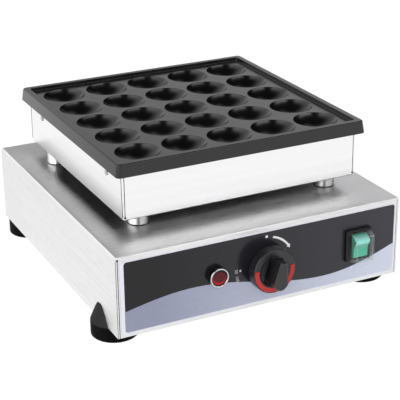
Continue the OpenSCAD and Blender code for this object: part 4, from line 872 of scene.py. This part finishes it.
# Green polycarbonate: a painted highlight in a pale band above its pivot, and painted shade deeper at its
# head and on its flanks.
green, tree, shader = surface("green_polycarbonate", "#52d8b4", IOR=1.5)
grained(tree, shader, 0.8, 0.002, 0.2, 0.26, detail=1.0)
split = add(tree, "ShaderNodeSeparateXYZ", {0: add(tree, "ShaderNodeTexCoord").outputs["Object"]})
tone = linear("#4cc4a2")
# The pale band is a painted highlight and the deep head a painted shade.
for colour, start, full in (("#a4fff4", 2, 4.5), ("#2c9c80", 8, 12)):
    tone = over(tone, linear(colour), step(split.outputs["Z"], control_z + start * MM, control_z + full * MM))
facing = add(tree, "ShaderNodeSeparateXYZ", {0: add(tree, "ShaderNodeNewGeometry").outputs["Normal"]})
flank_shade = add(tree, "ShaderNodeMath", {0: facing.outputs["X"]}, operation="ABSOLUTE").outputs[0]
tree.links.new(over(tone, linear("#2a9078"), step(flank_shade, 0.5, 0.9)), shader.inputs["Base Color"])
piece_of("green_rocker", rounded_copy("switch_rocker", voxel_mm=0.3, rounds=5), green, "rocker",
         "rocker_green", "switch_rocker")
# Clear vinyl: all but unseen from the front, with a painted sheen at a glance and painted highlights on its
# rounded edges, clear by the panel.
hood_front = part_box("switch_hood")[0].y
clear, tree, shader = surface("clear_vinyl", "#dfe6e8", IOR=1.5)
grained(tree, shader, 2.0, 0.001, 0.06, 0.1, detail=1.0)
# A painted sheen at a glance and painted highlights on the rounded edges show as pale, part opaque film.
glance = add(tree, "ShaderNodeLayerWeight", {"Blend": 0.5})
glance_falloff = add(tree, "ShaderNodeMath", {0: glance.outputs["Facing"], 1: 2.0}, operation="POWER")
glance_sheen = add(tree, "ShaderNodeMapRange", {"Value": glance_falloff.outputs[0], "To Min": 0.01, "To Max": 0.36})
rounding = add(tree, "ShaderNodeBevel", {"Radius": 0.8 * MM}, samples=8)
plane = add(tree, "ShaderNodeNewGeometry").outputs["True Normal"]
turned = add(tree, "ShaderNodeVectorMath", {0: rounding.outputs[0], 1: plane}, operation="DOT_PRODUCT")
edge_highlight = add(tree, "ShaderNodeMapRange", {"Value": turned.outputs["Value"], "From Min": 0.99, "From Max": 0.9,
                                        "To Max": 0.55})
painted_sheen = add(tree, "ShaderNodeMath", {0: glance_sheen.outputs[0], 1: edge_highlight.outputs[0]}, operation="MAXIMUM")
split = add(tree, "ShaderNodeSeparateXYZ", {0: add(tree, "ShaderNodeTexCoord").outputs["Object"]})
fore = step(split.outputs["Y"], hood_front + 11 * MM, hood_front + 8 * MM)
tree.links.new(both(painted_sheen.outputs[0], fore), shader.inputs["Alpha"])
dress(clear, "switch_hood")

# Wiring: stranded leads in extruded silicone, cut to length and screwed or crimped at their ends.
# The sleeves are a little waxy, and each circuit has a colour of its own.
for name, colour, lead in (("red_silicone", "#a32a22", "heater_wires"),
                           ("blue_silicone", "#2b4a9c", "supply_wires"),
                           ("black_silicone", "#151516", "lamp_wires")):
    sleeve, tree, shader = surface(name, colour, IOR=1.42)
    grained(tree, shader, 0.6, 0.01, 0.4, 0.5)
    dress(sleeve, lead)
